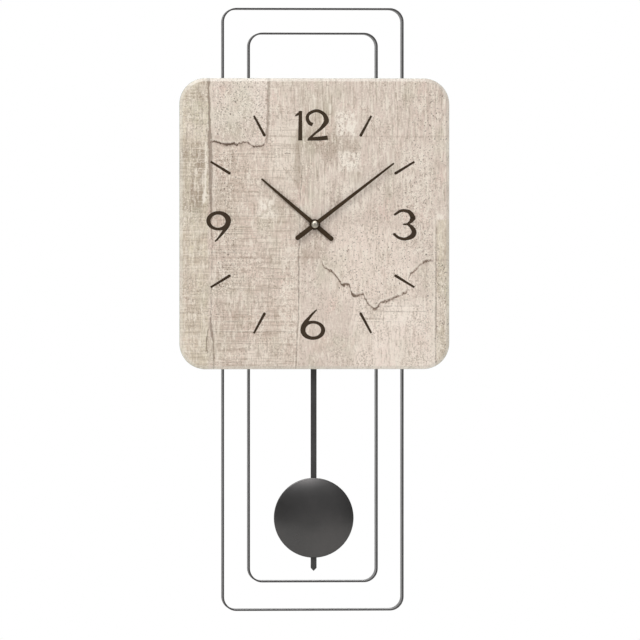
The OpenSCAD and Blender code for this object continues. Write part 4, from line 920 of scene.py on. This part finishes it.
@dataclass
class Assembly:
    """Pieces that belong together and are made and reported the same way."""

    pieces: list[bpy.types.Object] = field(default_factory=list, init=False)

    def report(self, piece: bpy.types.Object, body: str) -> None:
        """Log one piece with its size in mm and its faces."""
        size = np.array(piece.dimensions) / MM
        log.info("%s: %s on %s, %.1f x %.1f x %.1f mm, %d faces", type(self).__name__, piece.name, body,
                 *size, len(piece.data.polygons))

    def place(self, piece: bpy.types.Object, body: str, slot: str,
              replaces: tuple[str, ...]) -> bpy.types.Object:
        """Tie a finished piece to its body, and hide the nodes that it stands for.

        Args:
            piece: The new object.
            body: CAD body that carries it.
            slot: Material slot of the record; not used.
            replaces: CAD nodes that it stands for.

        Returns:
            The same piece.
        """
        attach(piece, body)
        if replaces:
            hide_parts(*replaces)
        self.pieces.append(piece)
        self.report(piece, body)
        return piece

    def build(self, name: str, body: str, grids: list[Grid], finishes: list[Finish | DialPrint], slot: str,
              replaces: tuple[str, ...] = (), sharp: float = 30.0) -> bpy.types.Object:
        """Make a piece from grids.

        Args:
            name: Name of the piece.
            body: CAD body that carries it.
            grids: Its surfaces, which close each other.
            finishes: Its finishes; each grid names one by its place.
            slot: Material slot of the record.
            replaces: CAD nodes that it stands for.
            sharp: Angle in degrees from which an edge stays sharp.

        Returns:
            The placed piece, with doubles merged and faces outwards.
        """
        counts = np.cumsum([0] + [grid.points.shape[0] * grid.points.shape[1] for grid in grids])
        faces = [grid.faces(int(first)) for grid, first in zip(grids, counts)]
        points = in_frame(np.concatenate([grid.points.reshape(-1, 3) for grid in grids]))
        mesh = bpy.data.meshes.new(name)
        mesh.from_pydata(points.tolist(), [], sum(faces, []))
        mesh.polygons.foreach_set("material_index",
                                  np.repeat([grid.finish for grid in grids], [len(f) for f in faces]))
        shape = bmesh.new()
        shape.from_mesh(mesh)
        bmesh.ops.remove_doubles(shape, verts=shape.verts, dist=WELD)
        bmesh.ops.recalc_face_normals(shape, faces=shape.faces)
        shape.to_mesh(mesh)
        shape.free()
        shade(mesh, sharp)
        for finish in finishes:
            mesh.materials.append(finish.material())
        return self.place(in_scene(name, mesh), body, slot, replaces)

    def soften(self, node: str, name: str, finish: Finish, width: float) -> bpy.types.Object:
        """Stand a copy of a CAD node with broken edges in its place.

        Args:
            node: CAD node to copy.
            name: Name of the piece.
            finish: Its finish.
            width: Width of the broken edges in mm.

        Returns:
            The placed piece: the node's triangles merged into flat faces, then each edge over BREAK_ANGLE
            rounded off.
        """
        source = frame["nodes"][node]
        mesh = bpy.data.meshes.new(name)
        shape = bmesh.new()
        shape.from_mesh(source.data)
        bmesh.ops.remove_doubles(shape, verts=shape.verts, dist=CAD_WELD)
        bmesh.ops.dissolve_limit(shape, angle_limit=math.radians(FLAT_ANGLE), verts=shape.verts,
                                 edges=shape.edges)
        shape.to_mesh(mesh)
        shape.free()
        piece = in_scene(name, mesh)
        self.settle(piece, "BEVEL", width=width * MM, segments=2, limit_method="ANGLE",
                    angle_limit=math.radians(BREAK_ANGLE), use_clamp_overlap=True)
        shade(piece.data, SHARP_ANGLE)
        # Wide flat faces keep their own shading beside the narrow rounded ones.
        self.settle(piece, "WEIGHTED_NORMAL", keep_sharp=True)
        piece.data.materials.clear()
        piece.data.materials.append(finish.material())
        return self.place(piece, source["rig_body"], finish.slot, (node,))

    @staticmethod
    def settle(piece: bpy.types.Object, kind: str, **options: object) -> None:
        """Give a piece the mesh that one modifier makes of it.

        Args:
            piece: The piece, which keeps its mesh's name.
            kind: Kind of modifier.
            options: Its settings.
        """
        modifier = piece.modifiers.new(kind.lower(), kind)
        for name, value in options.items():
            setattr(modifier, name, value)
        shaped = bpy.data.meshes.new_from_object(piece.evaluated_get(bpy.context.evaluated_depsgraph_get()))
        piece.modifiers.clear()
        old, piece.data = piece.data, shaped
        name = old.name
        bpy.data.meshes.remove(old)
        shaped.name = name

    def dress(self, finish: Finish, *nodes: str) -> None:
        """Give CAD nodes whose shape stays their finish.

        Args:
            finish: The finish.
            nodes: Names of the nodes.
        """
        for name in nodes:
            node = frame["nodes"][name]
            node.data.materials.clear()
            node.data.materials.append(finish.material())
            self.report(node, node["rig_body"])


@dataclass
class PrintedDial(Assembly):
    """The bevelled glass with its print, and the board and tape behind it. Sizes in mm."""

    corner: float = 26.0
    facet: float = 3.2
    facet_depth: float = 1.4
    arris: float = 0.25
    arris_share: float = 0.3
    facet_end: float = 0.1
    corner_steps: int = 16
    hole: float = 4.72
    board_edge: float = 0.5
    print_centre: tuple[float, float] = (-1.97, -0.03)
    ink_gap: float = 0.006
    ink_step: float = 0.008
    mark_length: float = 22.15
    mark_inner: float = 2.9
    mark_outer: float = 2.1
    heft: float = 0.25
    near_marks: tuple[float, float, float] = (53.6, 99.0, 28.4)
    far_marks: tuple[float, float, float] = (92.75, 57.1, 58.5)

    TWELVE = (((-12.0, -14.5, 3.95), (-11.9, 0, 3.65), (-11.8, 15.0, 3.3)),
              ((-17.0, 10.0, 1.2), (-13.7, 12.2, 2.3), (-10.9, 14.9, 1.0)),
              ((0.5, 1.25, 3.4), (-2.95, 3.15, 3.5), (-4.9, 7.9, 3.2), (-2.95, 12.4, 2.9), (4.4, 15.25, 2.9),
               (11.2, 12.3, 3.4), (14.3, 6.3, 4.7), (13.1, 2.6, 4.3), (8.7, -2.5, 2.9), (4.0, -6.4, 2.2),
               (-1.0, -10.8, 2.0), (-4.0, -13.5, 1.6)),
              ((-4.6, -14.1, 1.0), (-0.5, -13.0, 3.0), (8.0, -12.5, 3.85), (15.6, -11.7, 4.1)))
    THREE = (((-9.6, 9.9, 2.0), (-4.5, 13.2, 2.5), (-0.1, 13.9, 2.8), (5.2, 12.2, 3.8), (8.3, 7.3, 5.0),
              (7.9, 5.3, 4.7), (6.2, 2.8, 3.2), (3.9, 1.2, 2.0)),
             ((-0.9, 0.1, 1.3), (1.5, 0.2, 1.7), (4.5, 0.4, 1.6)),
             ((3.0, 0.2, 1.6), (6.5, -2.0, 3.3), (9.6, -6.9, 4.6), (7.8, -11.6, 4.7), (0.6, -14.55, 2.9),
              (-5.6, -13.3, 2.5), (-10.2, -9.9, 2.5)))
    SIX_TAIL = (((4.1, 14.8, 0.9), (-0.2, 10.7, 2.0), (-4.2, 6.0, 2.8), (-6.8, 2.6, 3.9), (-9.1, -1.5, 4.7),
                 (-9.9, -5.2, 4.9)),)
    NINE_TAIL = (((-4.1, -15.9, 1.2), (1.3, -10.1, 2.2), (5.3, -4.7, 3.4), (8.1, -0.3, 4.3),
                  (9.3, 3.6, 5.0)),)

    def make(self) -> None:
        """Build the glass and its print, and dress what carries it."""
        self.glass()
        self.numeral("numeral_twelve", (-0.42, 98.5), self.TWELVE, (True, True))
        self.numeral("numeral_three", (92.1, 0.08), self.THREE, (False, False))
        self.numeral("numeral_six", (0.15, -99.95), self.SIX_TAIL, (True, False),
                     ((0.05, -5.8, 12.35, 9.5), (0.5, -5.55, 7.9, 6.55)))
        self.numeral("numeral_nine", (-93.68, -1.15), self.NINE_TAIL, (True, False),
                     ((-0.4, 4.85, 12.3, 9.65), (-1.0, 4.5, 7.6, 6.6)))
        self.marks()
        self.soften("dial_board", "lacquered_backboard", BOARD_LACQUER, self.board_edge)
        self.dress(FOAM_TAPE, "glass_tape")

    def glass(self) -> None:
        """Build the plate: outline points moved in along their normals at each step of the edge's profile."""
        span = Span.of("dial_glass")
        centre = np.array(span.centre)
        outline, normals = span.outline(self.corner, self.corner_steps)
        outline = outline + centre

        def rows(profile: list[tuple[float, float]]) -> Points:
            """Points for (inset, d) steps: outline - normal * inset, at d."""
            inset, depth = np.array(profile).T
            return at_depth(outline[:, None] - normals[:, None] * inset[:, None], depth)

        polar = np.arctan2(outline[:, 1], outline[:, 0])
        circle = self.hole * np.stack([np.cos(polar), np.zeros_like(polar), np.sin(polar)], -1)[:, None]
        front_hole, back_hole = circle + (0, span.front, 0), circle + (0, span.back, 0)
        edge, low = span.front, span.front - self.facet_depth
        arris, part = self.arris, self.arris * self.arris_share
        # The arris is a small rounding between the facet and the side, and between the side and the rear.
        facet = rows([(self.facet, edge), (self.facet / 2, edge - self.facet_depth / 2),
                      (arris, low + self.facet_end)])
        side = rows([(arris, low + self.facet_end), (part, low - part), (0, low - arris),
                     (0, span.back + arris), (part, span.back + part), (arris, span.back)])
        self.build("printed_glass_plate", "case", [
            Grid(np.hstack([front_hole, rows([(self.facet, edge)])]), round_u=True, finish=0),
            Grid(facet, round_u=True, finish=1),
            Grid(side, round_u=True, finish=2),
            Grid(np.hstack([rows([(arris, span.back)]), back_hole]), round_u=True, finish=3),
            Grid(np.hstack([back_hole, front_hole]), round_u=True, finish=2),
        ], [BOARD_PRINT, FACET_PRINT, GLASS_SIDE, PRINT_BACK], "printed_glass", ("dial_glass",), sharp=16.0)

    def numeral(self, name: str, at: tuple[float, float], strokes: tuple, blunt: tuple[bool, bool],
                ring: tuple[tuple[float, ...], tuple[float, ...]] | None = None) -> None:
        """Build one numeral from pen strokes and, on a 6 or 9, a bowl.

        Args:
            name: Name of the piece.
            at: Its place as x and z from the print's centre.
            strokes: Stations of each stroke as x, z and width.
            blunt: Whether the first and last ends are cut straight.
            ring: Outer and inner ellipse of the bowl.
        """
        # Every stroke is drawn its heft wider than its stations say.
        move = np.array([self.print_centre[0] + at[0], self.print_centre[1] + at[1], self.heft])
        back = Span.of("dial_glass").front + self.ink_gap
        fronts = back + self.ink_step * (1 + np.arange(len(strokes) + 1))
        grids = [stroke(np.array(line) + move, back, front, blunt) for line, front in zip(strokes, fronts)]
        if ring:
            outer, inner = ((e[0] + move[0], e[1] + move[1], e[2] + grow, e[3] + grow)
                            for e, grow in zip(ring, (self.heft / 2, -self.heft / 2)))
            grids.append(bowl(outer, inner, back, fronts[-1]))
        self.build(name, "case", grids, [NUMERAL_INK], "printed_glass", sharp=40.0)

    def marks(self) -> None:
        """Build the eight slanting hour marks, each a stroke that tapers away from the middle."""
        back = Span.of("dial_glass").front + self.ink_gap
        grids = []
        for x, z, slant in (self.near_marks, self.far_marks):
            lean = np.array([math.sin(math.radians(slant)), math.cos(math.radians(slant))])
            for side in np.array([(1, 1), (-1, 1), (1, -1), (-1, -1)]):
                ends = [(np.array([x, z]) + share * self.mark_length * lean) * side + self.print_centre
                        for share in (-0.5, 0.0, 0.5)]
                widths = np.linspace(self.mark_inner, self.mark_outer, 3)
                stations = np.column_stack([ends, widths])
                grids.append(stroke(stations, back, back + self.ink_step, (False, True)))
        self.build("hour_marks", "case", grids, [NUMERAL_INK], "printed_glass", sharp=40.0)


@dataclass
class StripLoops(Assembly):
    """The two upright loops of flat strip. Sizes in mm."""

    corner: float = 14.0
    strip: float = 1.6
    edge: float = 0.35
    corner_steps: int = 14
    edge_steps: int = 4

    def make(self) -> None:
        """Sweep the strip's section round each loop."""
        for node, name in (("outer_loop", "outer_strip_loop"), ("inner_loop", "inner_strip_loop")):
            self.build(name, "case", [self.loop(Span.of(node))], [STRIP_LACQUER], "strip_metal", (node,))

    def loop(self, span: Span) -> Grid:
        """One loop: each point of the section lies its own distance in from the loop's outline.

        Args:
            span: Box of the loop.

        Returns:
            Grid of outline - normal * (half strip + s), at the strip's middle depth + t, for the section's
            (s, t).
        """
        outline, normals = span.outline(self.corner, self.corner_steps)
        section, _ = rounded_outline(self.strip, span.front - span.back, self.edge, self.edge_steps)
        inset = self.strip / 2 + section[:, 0]
        flat = outline[:, None] - normals[:, None] * inset[:, None] + np.array(span.centre)
        return Grid(at_depth(flat, (span.front + span.back) / 2 + section[:, 1]), round_u=True, round_v=True)


@dataclass
class HandSet(Assembly):
    """The two hands and the cap on the shaft. Sizes in mm."""

    edge: float = 0.14
    bore: float = 1.77
    bore_depth: float = 1.05
    collar: float = 0.4
    collar_lip: float = 0.12
    dome: float = 3.72
    foot: float = 0.25
    turn_steps: int = 64
    rise_steps: int = 14

    def make(self) -> None:
        """Round the hands' edges and turn the cap."""
        self.soften("hour_hand", "hour_hand_blade", HAND_ENAMEL, self.edge)
        self.soften("minute_hand", "minute_hand_blade", HAND_ENAMEL, self.edge)
        self.cap()

    def cap(self) -> None:
        """Turn the cap: a low collar enamelled with the hands, and the bright dome that stands on it."""
        span = Span.of("hand_cap")
        radius, top = (span.right - span.left) / 2, span.back + self.collar
        turn = np.radians(np.linspace(0, 90, self.rise_steps))
        # The dome is a quarter of an ellipse above its foot: dome * cos(a) and rise * sin(a).
        rise = span.front - top - self.foot
        dome = np.stack([self.dome * np.cos(turn), top + self.foot + rise * np.sin(turn)], -1)
        dome[-1, 0] = 0
        collar = np.array([(0, span.back + self.bore_depth), (self.bore, span.back + self.bore_depth),
                           (self.bore, span.back), (radius - self.collar_lip, span.back),
                           (radius, span.back + self.collar_lip), (radius, top - self.collar_lip),
                           (radius - self.collar_lip, top), (self.dome, top)])
        grids = [revolve(profile, (0.0, 0.0), self.turn_steps, finish)
                 for finish, profile in enumerate([np.vstack([[(self.dome, top)], dome]), collar])]
        self.build("hand_cap_dome", "minute", grids, [CAP_NICKEL, HAND_ENAMEL], "cap_silver", ("hand_cap",),
                   sharp=50.0)


@dataclass
class Pendulum(Assembly):
    """The rod, the round bob and its bracket, and the lever that drives them. Sizes in mm."""

    rod_edge: float = 0.2
    rim: float = 2.2
    rim_round: float = 1.3
    wall: float = 0.8
    crown: float = 2.4
    lip_share: float = 0.6
    hollow_share: float = 0.98
    turn_steps: int = 128
    face_steps: int = 40
    rim_steps: int = 7

    def make(self) -> None:
        """Round the rod's edges, form the bob and dress the works."""
        self.soften("pendulum_rod", "pendulum_strip", ROD_LACQUER, self.rod_edge)
        self.bob()
        self.dress(ZINC_PLATE, "bob_bracket")
        self.dress(ACETAL, "pendulum_lever")
        self.dress(MAGNET, "pendulum_magnet")

    def bob(self) -> None:
        """Form the disc: height dome * (1 - (r / R)^crown) in a rounded rim, one wall thick, open behind."""
        span = Span.of("pendulum_bob")
        outer = (span.right - span.left) / 2
        inner = outer - self.rim_round
        dome = span.front - span.back - self.rim
        radii = inner * np.sin(np.linspace(0, np.pi / 2, self.face_steps))
        face = np.stack([radii, span.back + self.rim + dome * (1 - (radii / inner) ** self.crown)], -1)
        # The rim's rounding leaves the face at its own slope and ends straight back.
        slope = math.degrees(math.atan(dome * self.crown / inner))
        turn = np.radians(np.linspace(90 - slope, 0, self.rim_steps))
        centre = np.array([inner, span.back + self.rim - self.rim_round])
        rim = centre + self.rim_round * np.stack([np.cos(turn), np.sin(turn)], -1)
        front = np.vstack([face[:-1], rim, [(outer, span.back)]])
        lip = outer - self.wall
        behind = np.array([(lip, span.back), (lip, span.back + self.rim * self.lip_share)])
        hollow = np.stack([radii[::-1] * self.hollow_share, face[::-1, 1] - self.wall], -1)
        hollow[-1, 0] = 0
        self.build("pendulum_bob_disc", "pendulum",
                   [revolve(np.vstack([front, behind, hollow]), span.centre, self.turn_steps)], [BOB_LACQUER],
                   "bob_metal", ("pendulum_bob",), sharp=40.0)


@dataclass
class Housing(Assembly):
    """The folded case with its bars, screws, hanger and wall pads. Sizes in mm."""

    fold: float = 0.35
    plate_edge: float = 0.25
    pad_edge: float = 0.4

    def make(self) -> None:
        """Break the edges that show and dress the rest."""
        self.soften("back_case", "folded_case", CASE_COAT, self.fold)
        self.soften("upper_clamp_bar", "upper_bar", CASE_COAT, self.plate_edge)
        self.soften("lower_clamp_bar", "lower_bar", CASE_COAT, self.plate_edge)
        self.soften("hanger_plate", "keyhole_plate", ZINC_PLATE, self.plate_edge)
        self.soften("wall_pads", "wall_pad_set", PAD_RUBBER, self.pad_edge)
        self.dress(ZINC_PLATE, "clamp_spacers", "clamp_screws", "hanger_rivets", "board_screws")


@dataclass
class Movement(Assembly):
    """The quartz movement: shells, cell, contacts, circuit, motor and train. Sizes in mm."""

    shell_edge: float = 0.3
    film: float = 0.06
    film_fold: float = 1.4
    film_bend: float = 0.3
    film_gap: float = 0.01
    cell_nub: float = 1.2
    film_steps: int = 64

    def make(self) -> None:
        """Dress the works, and sleeve the cell."""
        self.soften("movement_rear_shell", "rear_moulding", SPARK_ABS, self.shell_edge)
        self.dress(SPARK_ABS, "movement_front_shell", "setting_knob")
        self.dress(ZINC_PLATE, "movement_screws", "shell_screws", "quartz_crystal", "motor_stator",
                   "minute_shaft", "pendulum_pivot_pin")
        self.dress(NICKEL_STRIP, "positive_contact", "negative_contact")
        self.dress(SOLDER_MASK, "circuit_board")
        self.dress(CAST_RESIN, "control_chip")
        self.dress(MOTOR_WIRE, "motor_coil")
        self.dress(DRIVE_WIRE, "pendulum_drive_coil")
        self.dress(MAGNET, "motor_rotor")
        self.dress(ACETAL, "intermediate_wheel", "seconds_wheel", "third_wheel", "centre_wheel",
                   "minute_wheel", "hour_wheel")
        self.dress(SPRING_BRASS, "clutch_washer")
        self.dress(CELL_CAN, "battery_cell")
        self.sleeve()

    def sleeve(self) -> None:
        """Shrink a film over the cell: a tube with both ends folded in over the can's rims."""
        span = Span.of("battery_cell")
        x, radius = span.centre[0], (span.right - span.left) / 2
        d = (span.back + span.front) / 2
        low, high = span.low, span.high - self.cell_nub
        out, bend, gap = radius + self.film, self.film_bend, self.film_gap
        lip = radius - self.film_fold
        # Profile as radius and height: over the lower rim, up the side, over the upper rim, and back inside.
        profile = np.array([(lip, low - self.film), (out - bend, low - self.film), (out, low + bend),
                            (out, high - bend), (out - bend, high + self.film), (lip, high + self.film),
                            (lip, high + gap), (radius - bend, high + gap), (radius + gap, high - bend),
                            (radius + gap, low + bend), (radius - bend, low - gap), (lip, low - gap)])
        turn = full_turn(self.film_steps)
        points = np.stack([x + profile[:, 0] * np.cos(turn), d + profile[:, 0] * np.sin(turn),
                           np.broadcast_to(profile[:, 1], (self.film_steps, len(profile)))], -1)
        self.build("cell_sleeve", "case", [Grid(points, round_u=True, round_v=True)], [CELL_FILM],
                   "cell_jacket", sharp=35.0)


@dataclass(frozen=True)
class Lamp:
    """A soft rectangular lamp.

    Attributes:
        name: Its name.
        at: Place in metres in the row frame.
        size: Width and height in metres.
        power: Watts.
        colour: sRGB colour of its light.
    """

    name: str
    at: tuple[float, float, float]
    size: tuple[float, float]
    power: float
    colour: str = "#ffffff"


@dataclass
class Studio:
    """Camera, lamps, world and floor. Places in metres in the row frame, angles in degrees."""

    azimuth: float = -4.0
    elevation: float = 0.5
    distance: float = 9.0
    lens: float = 506.25
    sensor: float = 36.0
    clip: tuple[float, float] = (0.5, 60.0)
    room_light: float = 0.60
    aim: tuple[float, float, float] = (0.00544, -0.048, -0.0955)
    floor_height: float = -0.72
    floor_radius: float = 4.0
    floor_fade: tuple[float, float] = (1.2, 3.4)
    floor_steps: tuple[int, int] = (96, 12)
    # What reflections see: where along an axis of the view the light starts and ends to change, and its
    # strength there. First the two ends of the room, then its ceiling, upwards and aside from its middle.
    left_end: tuple[float, ...] = (-0.5, 0.1, 0.07, 0.37)
    right_end: tuple[float, ...] = (0.4, 0.7, 1.0, 0.15)
    ceiling_up: tuple[float, ...] = (0.4, 0.75, 0.0, 3.4)
    ceiling_aside: tuple[float, ...] = (0.15, 0.45, 1.0, 0.0)
    ceiling_middle: float = -0.1
    backdrop: tuple[float, ...] = (-0.2, 0.6, 1.0, 0.2)
    behind: tuple[float, ...] = (-0.15, 0.2)
    lamps: tuple[Lamp, ...] = (
        Lamp("key_softbox", (-1.0, -2.3, 2.3), (3.0, 1.0), 47.0),
        Lamp("side_softbox", (-2.6, -2.2, 0.3), (1.6, 2.2), 7.0),
        Lamp("rear_softbox", (0.8, 2.4, 1.6), (1.8, 1.8), 30.0),
    )

    def make(self) -> None:
        """Set the camera, then light the room."""
        self.camera()
        for lamp in self.lamps:
            self.light(lamp)
        self.world()
        self.floor()
        view = bpy.context.scene.view_settings
        view.view_transform = "Standard"

    def camera(self) -> None:
        """Look from the photograph's angle: aim + distance * (sin a cos e, -cos a cos e, sin e)."""
        aim = Vector(self.aim) + Vector((SHAFT.x, 0, SHAFT.z))
        a, e = math.radians(self.azimuth), math.radians(self.elevation)
        away = Vector((math.sin(a) * math.cos(e), -math.cos(a) * math.cos(e), math.sin(e)))
        data = bpy.data.cameras.new("front_camera")
        data.lens, data.sensor_width = self.lens, self.sensor
        data.clip_start, data.clip_end = self.clip
        camera = in_scene("front_camera", data)
        camera.location = aim + away * self.distance
        camera.rotation_euler = away.to_track_quat("Z", "Y").to_euler()
        bpy.context.scene.camera = camera

    def light(self, lamp: Lamp) -> None:
        """Hang one lamp, turned to the clock.

        Args:
            lamp: Its place, size and power.
        """
        data = bpy.data.lights.new(lamp.name, "AREA")
        data.shape, data.energy = "RECTANGLE", lamp.power
        data.size, data.size_y = lamp.size
        data.color = linear(lamp.colour)[:3]
        light = in_scene(lamp.name, data)
        light.location = lamp.at
        light.rotation_euler = (Vector(lamp.at) - Vector(self.aim) - Vector((0, 0, SHAFT.z))).to_track_quat(
            "Z", "Y").to_euler()

    def world(self) -> None:
        """White behind the clock and through glass, a room to reflect, and grey light for the rest."""
        world = bpy.data.worlds.new("studio")
        bpy.context.scene.world = world
        world.use_nodes = True
        world.node_tree.nodes.clear()
        add = partial(add_node, world.node_tree)
        path = add("LightPath")
        direction = add("TexCoord").outputs["Generated"]
        axes = add("SeparateXYZ", direction)
        # Reflections see a dim room on the camera's side, darkest at both ends, under a bright strip of
        # ceiling. Behind the clock they see a backdrop that is white on the left and dark on the right.
        left_room = add("MapRange", axes.outputs[0], *self.left_end)
        right_room = add("MapRange", axes.outputs[0], *self.right_end)
        walls = add("Math", left_room, right_room, operation="MULTIPLY")
        height = add("MapRange", axes.outputs[2], *self.ceiling_up, **SMOOTH)
        aside = add("Math", axes.outputs[0], -self.ceiling_middle, operation="ADD")
        aside = add("Math", aside, operation="ABSOLUTE")
        middle = add("MapRange", aside, *self.ceiling_aside, **SMOOTH)
        ceiling = add("Math", height, middle, operation="MULTIPLY")
        room = add("Math", walls, ceiling, operation="ADD")
        backdrop = add("MapRange", axes.outputs[0], *self.backdrop)
        depth = add("MapRange", axes.outputs[1], *self.behind, room, backdrop, **SMOOTH)
        seen = add("Math", path.outputs["Is Camera Ray"], path.outputs["Is Transmission Ray"],
                   operation="MAXIMUM")
        lit = add("Mix", path.outputs["Is Glossy Ray"], self.room_light, depth)
        strength = add("Mix", seen, lit, 1.0)
        background = add("Background", (1.0, 1.0, 1.0, 1.0), strength)
        add("OutputWorld", background)

    def floor(self) -> None:
        """Lay a pale round floor whose rim fades into the white backdrop for the camera."""
        turn = full_turn(self.floor_steps[0])
        radii = np.linspace(0, self.floor_radius, self.floor_steps[1])
        points = np.stack([radii * np.cos(turn), radii * np.sin(turn),
                           np.full(self.floor_steps, self.floor_height)], -1)
        grid = Grid(points, round_u=True)
        mesh = bpy.data.meshes.new("studio_floor")
        mesh.from_pydata(points.reshape(-1, 3).tolist(), [], grid.faces(0))
        material, add = new_material("floor_matt_emulsion")
        place = add("TexCoord").outputs["Object"]
        flat = add("VectorMath", place, (1.0, 1.0, 0.0), operation="MULTIPLY")
        radius = add("VectorMath", flat, operation="LENGTH")
        rim = add("MapRange", radius.outputs["Value"], *self.floor_fade, **SMOOTH)
        noise = add("TexNoise", place, 60.0, 3.0)
        tone = add("Mix", noise, linear("#e6e5e2"), linear("#eeedea"), data_type="RGBA")
        matt = add("BsdfDiffuse", tone)
        glow = add("Emission", (1.0, 1.0, 1.0, 1.0), 1.0)
        camera = add("LightPath").outputs["Is Camera Ray"]
        share = add("Math", rim, camera, operation="MULTIPLY")
        mixed = add("MixShader", share, matt, glow)
        add("OutputMaterial", mixed)
        mesh.materials.append(material)
        floor = in_scene("studio_floor", mesh)


def main() -> None:
    """Build the assemblies in order and report them."""
    logging.basicConfig(level=logging.INFO, format="%(levelname)s %(message)s", force=True)
    Studio().make()
    for assembly in (PrintedDial(), StripLoops(), HandSet(), Pendulum(), Housing(), Movement()):
        assembly.make()
        log.info("%s: %d new pieces", type(assembly).__name__, len(assembly.pieces))


if __name__ == "__main__":
    main()
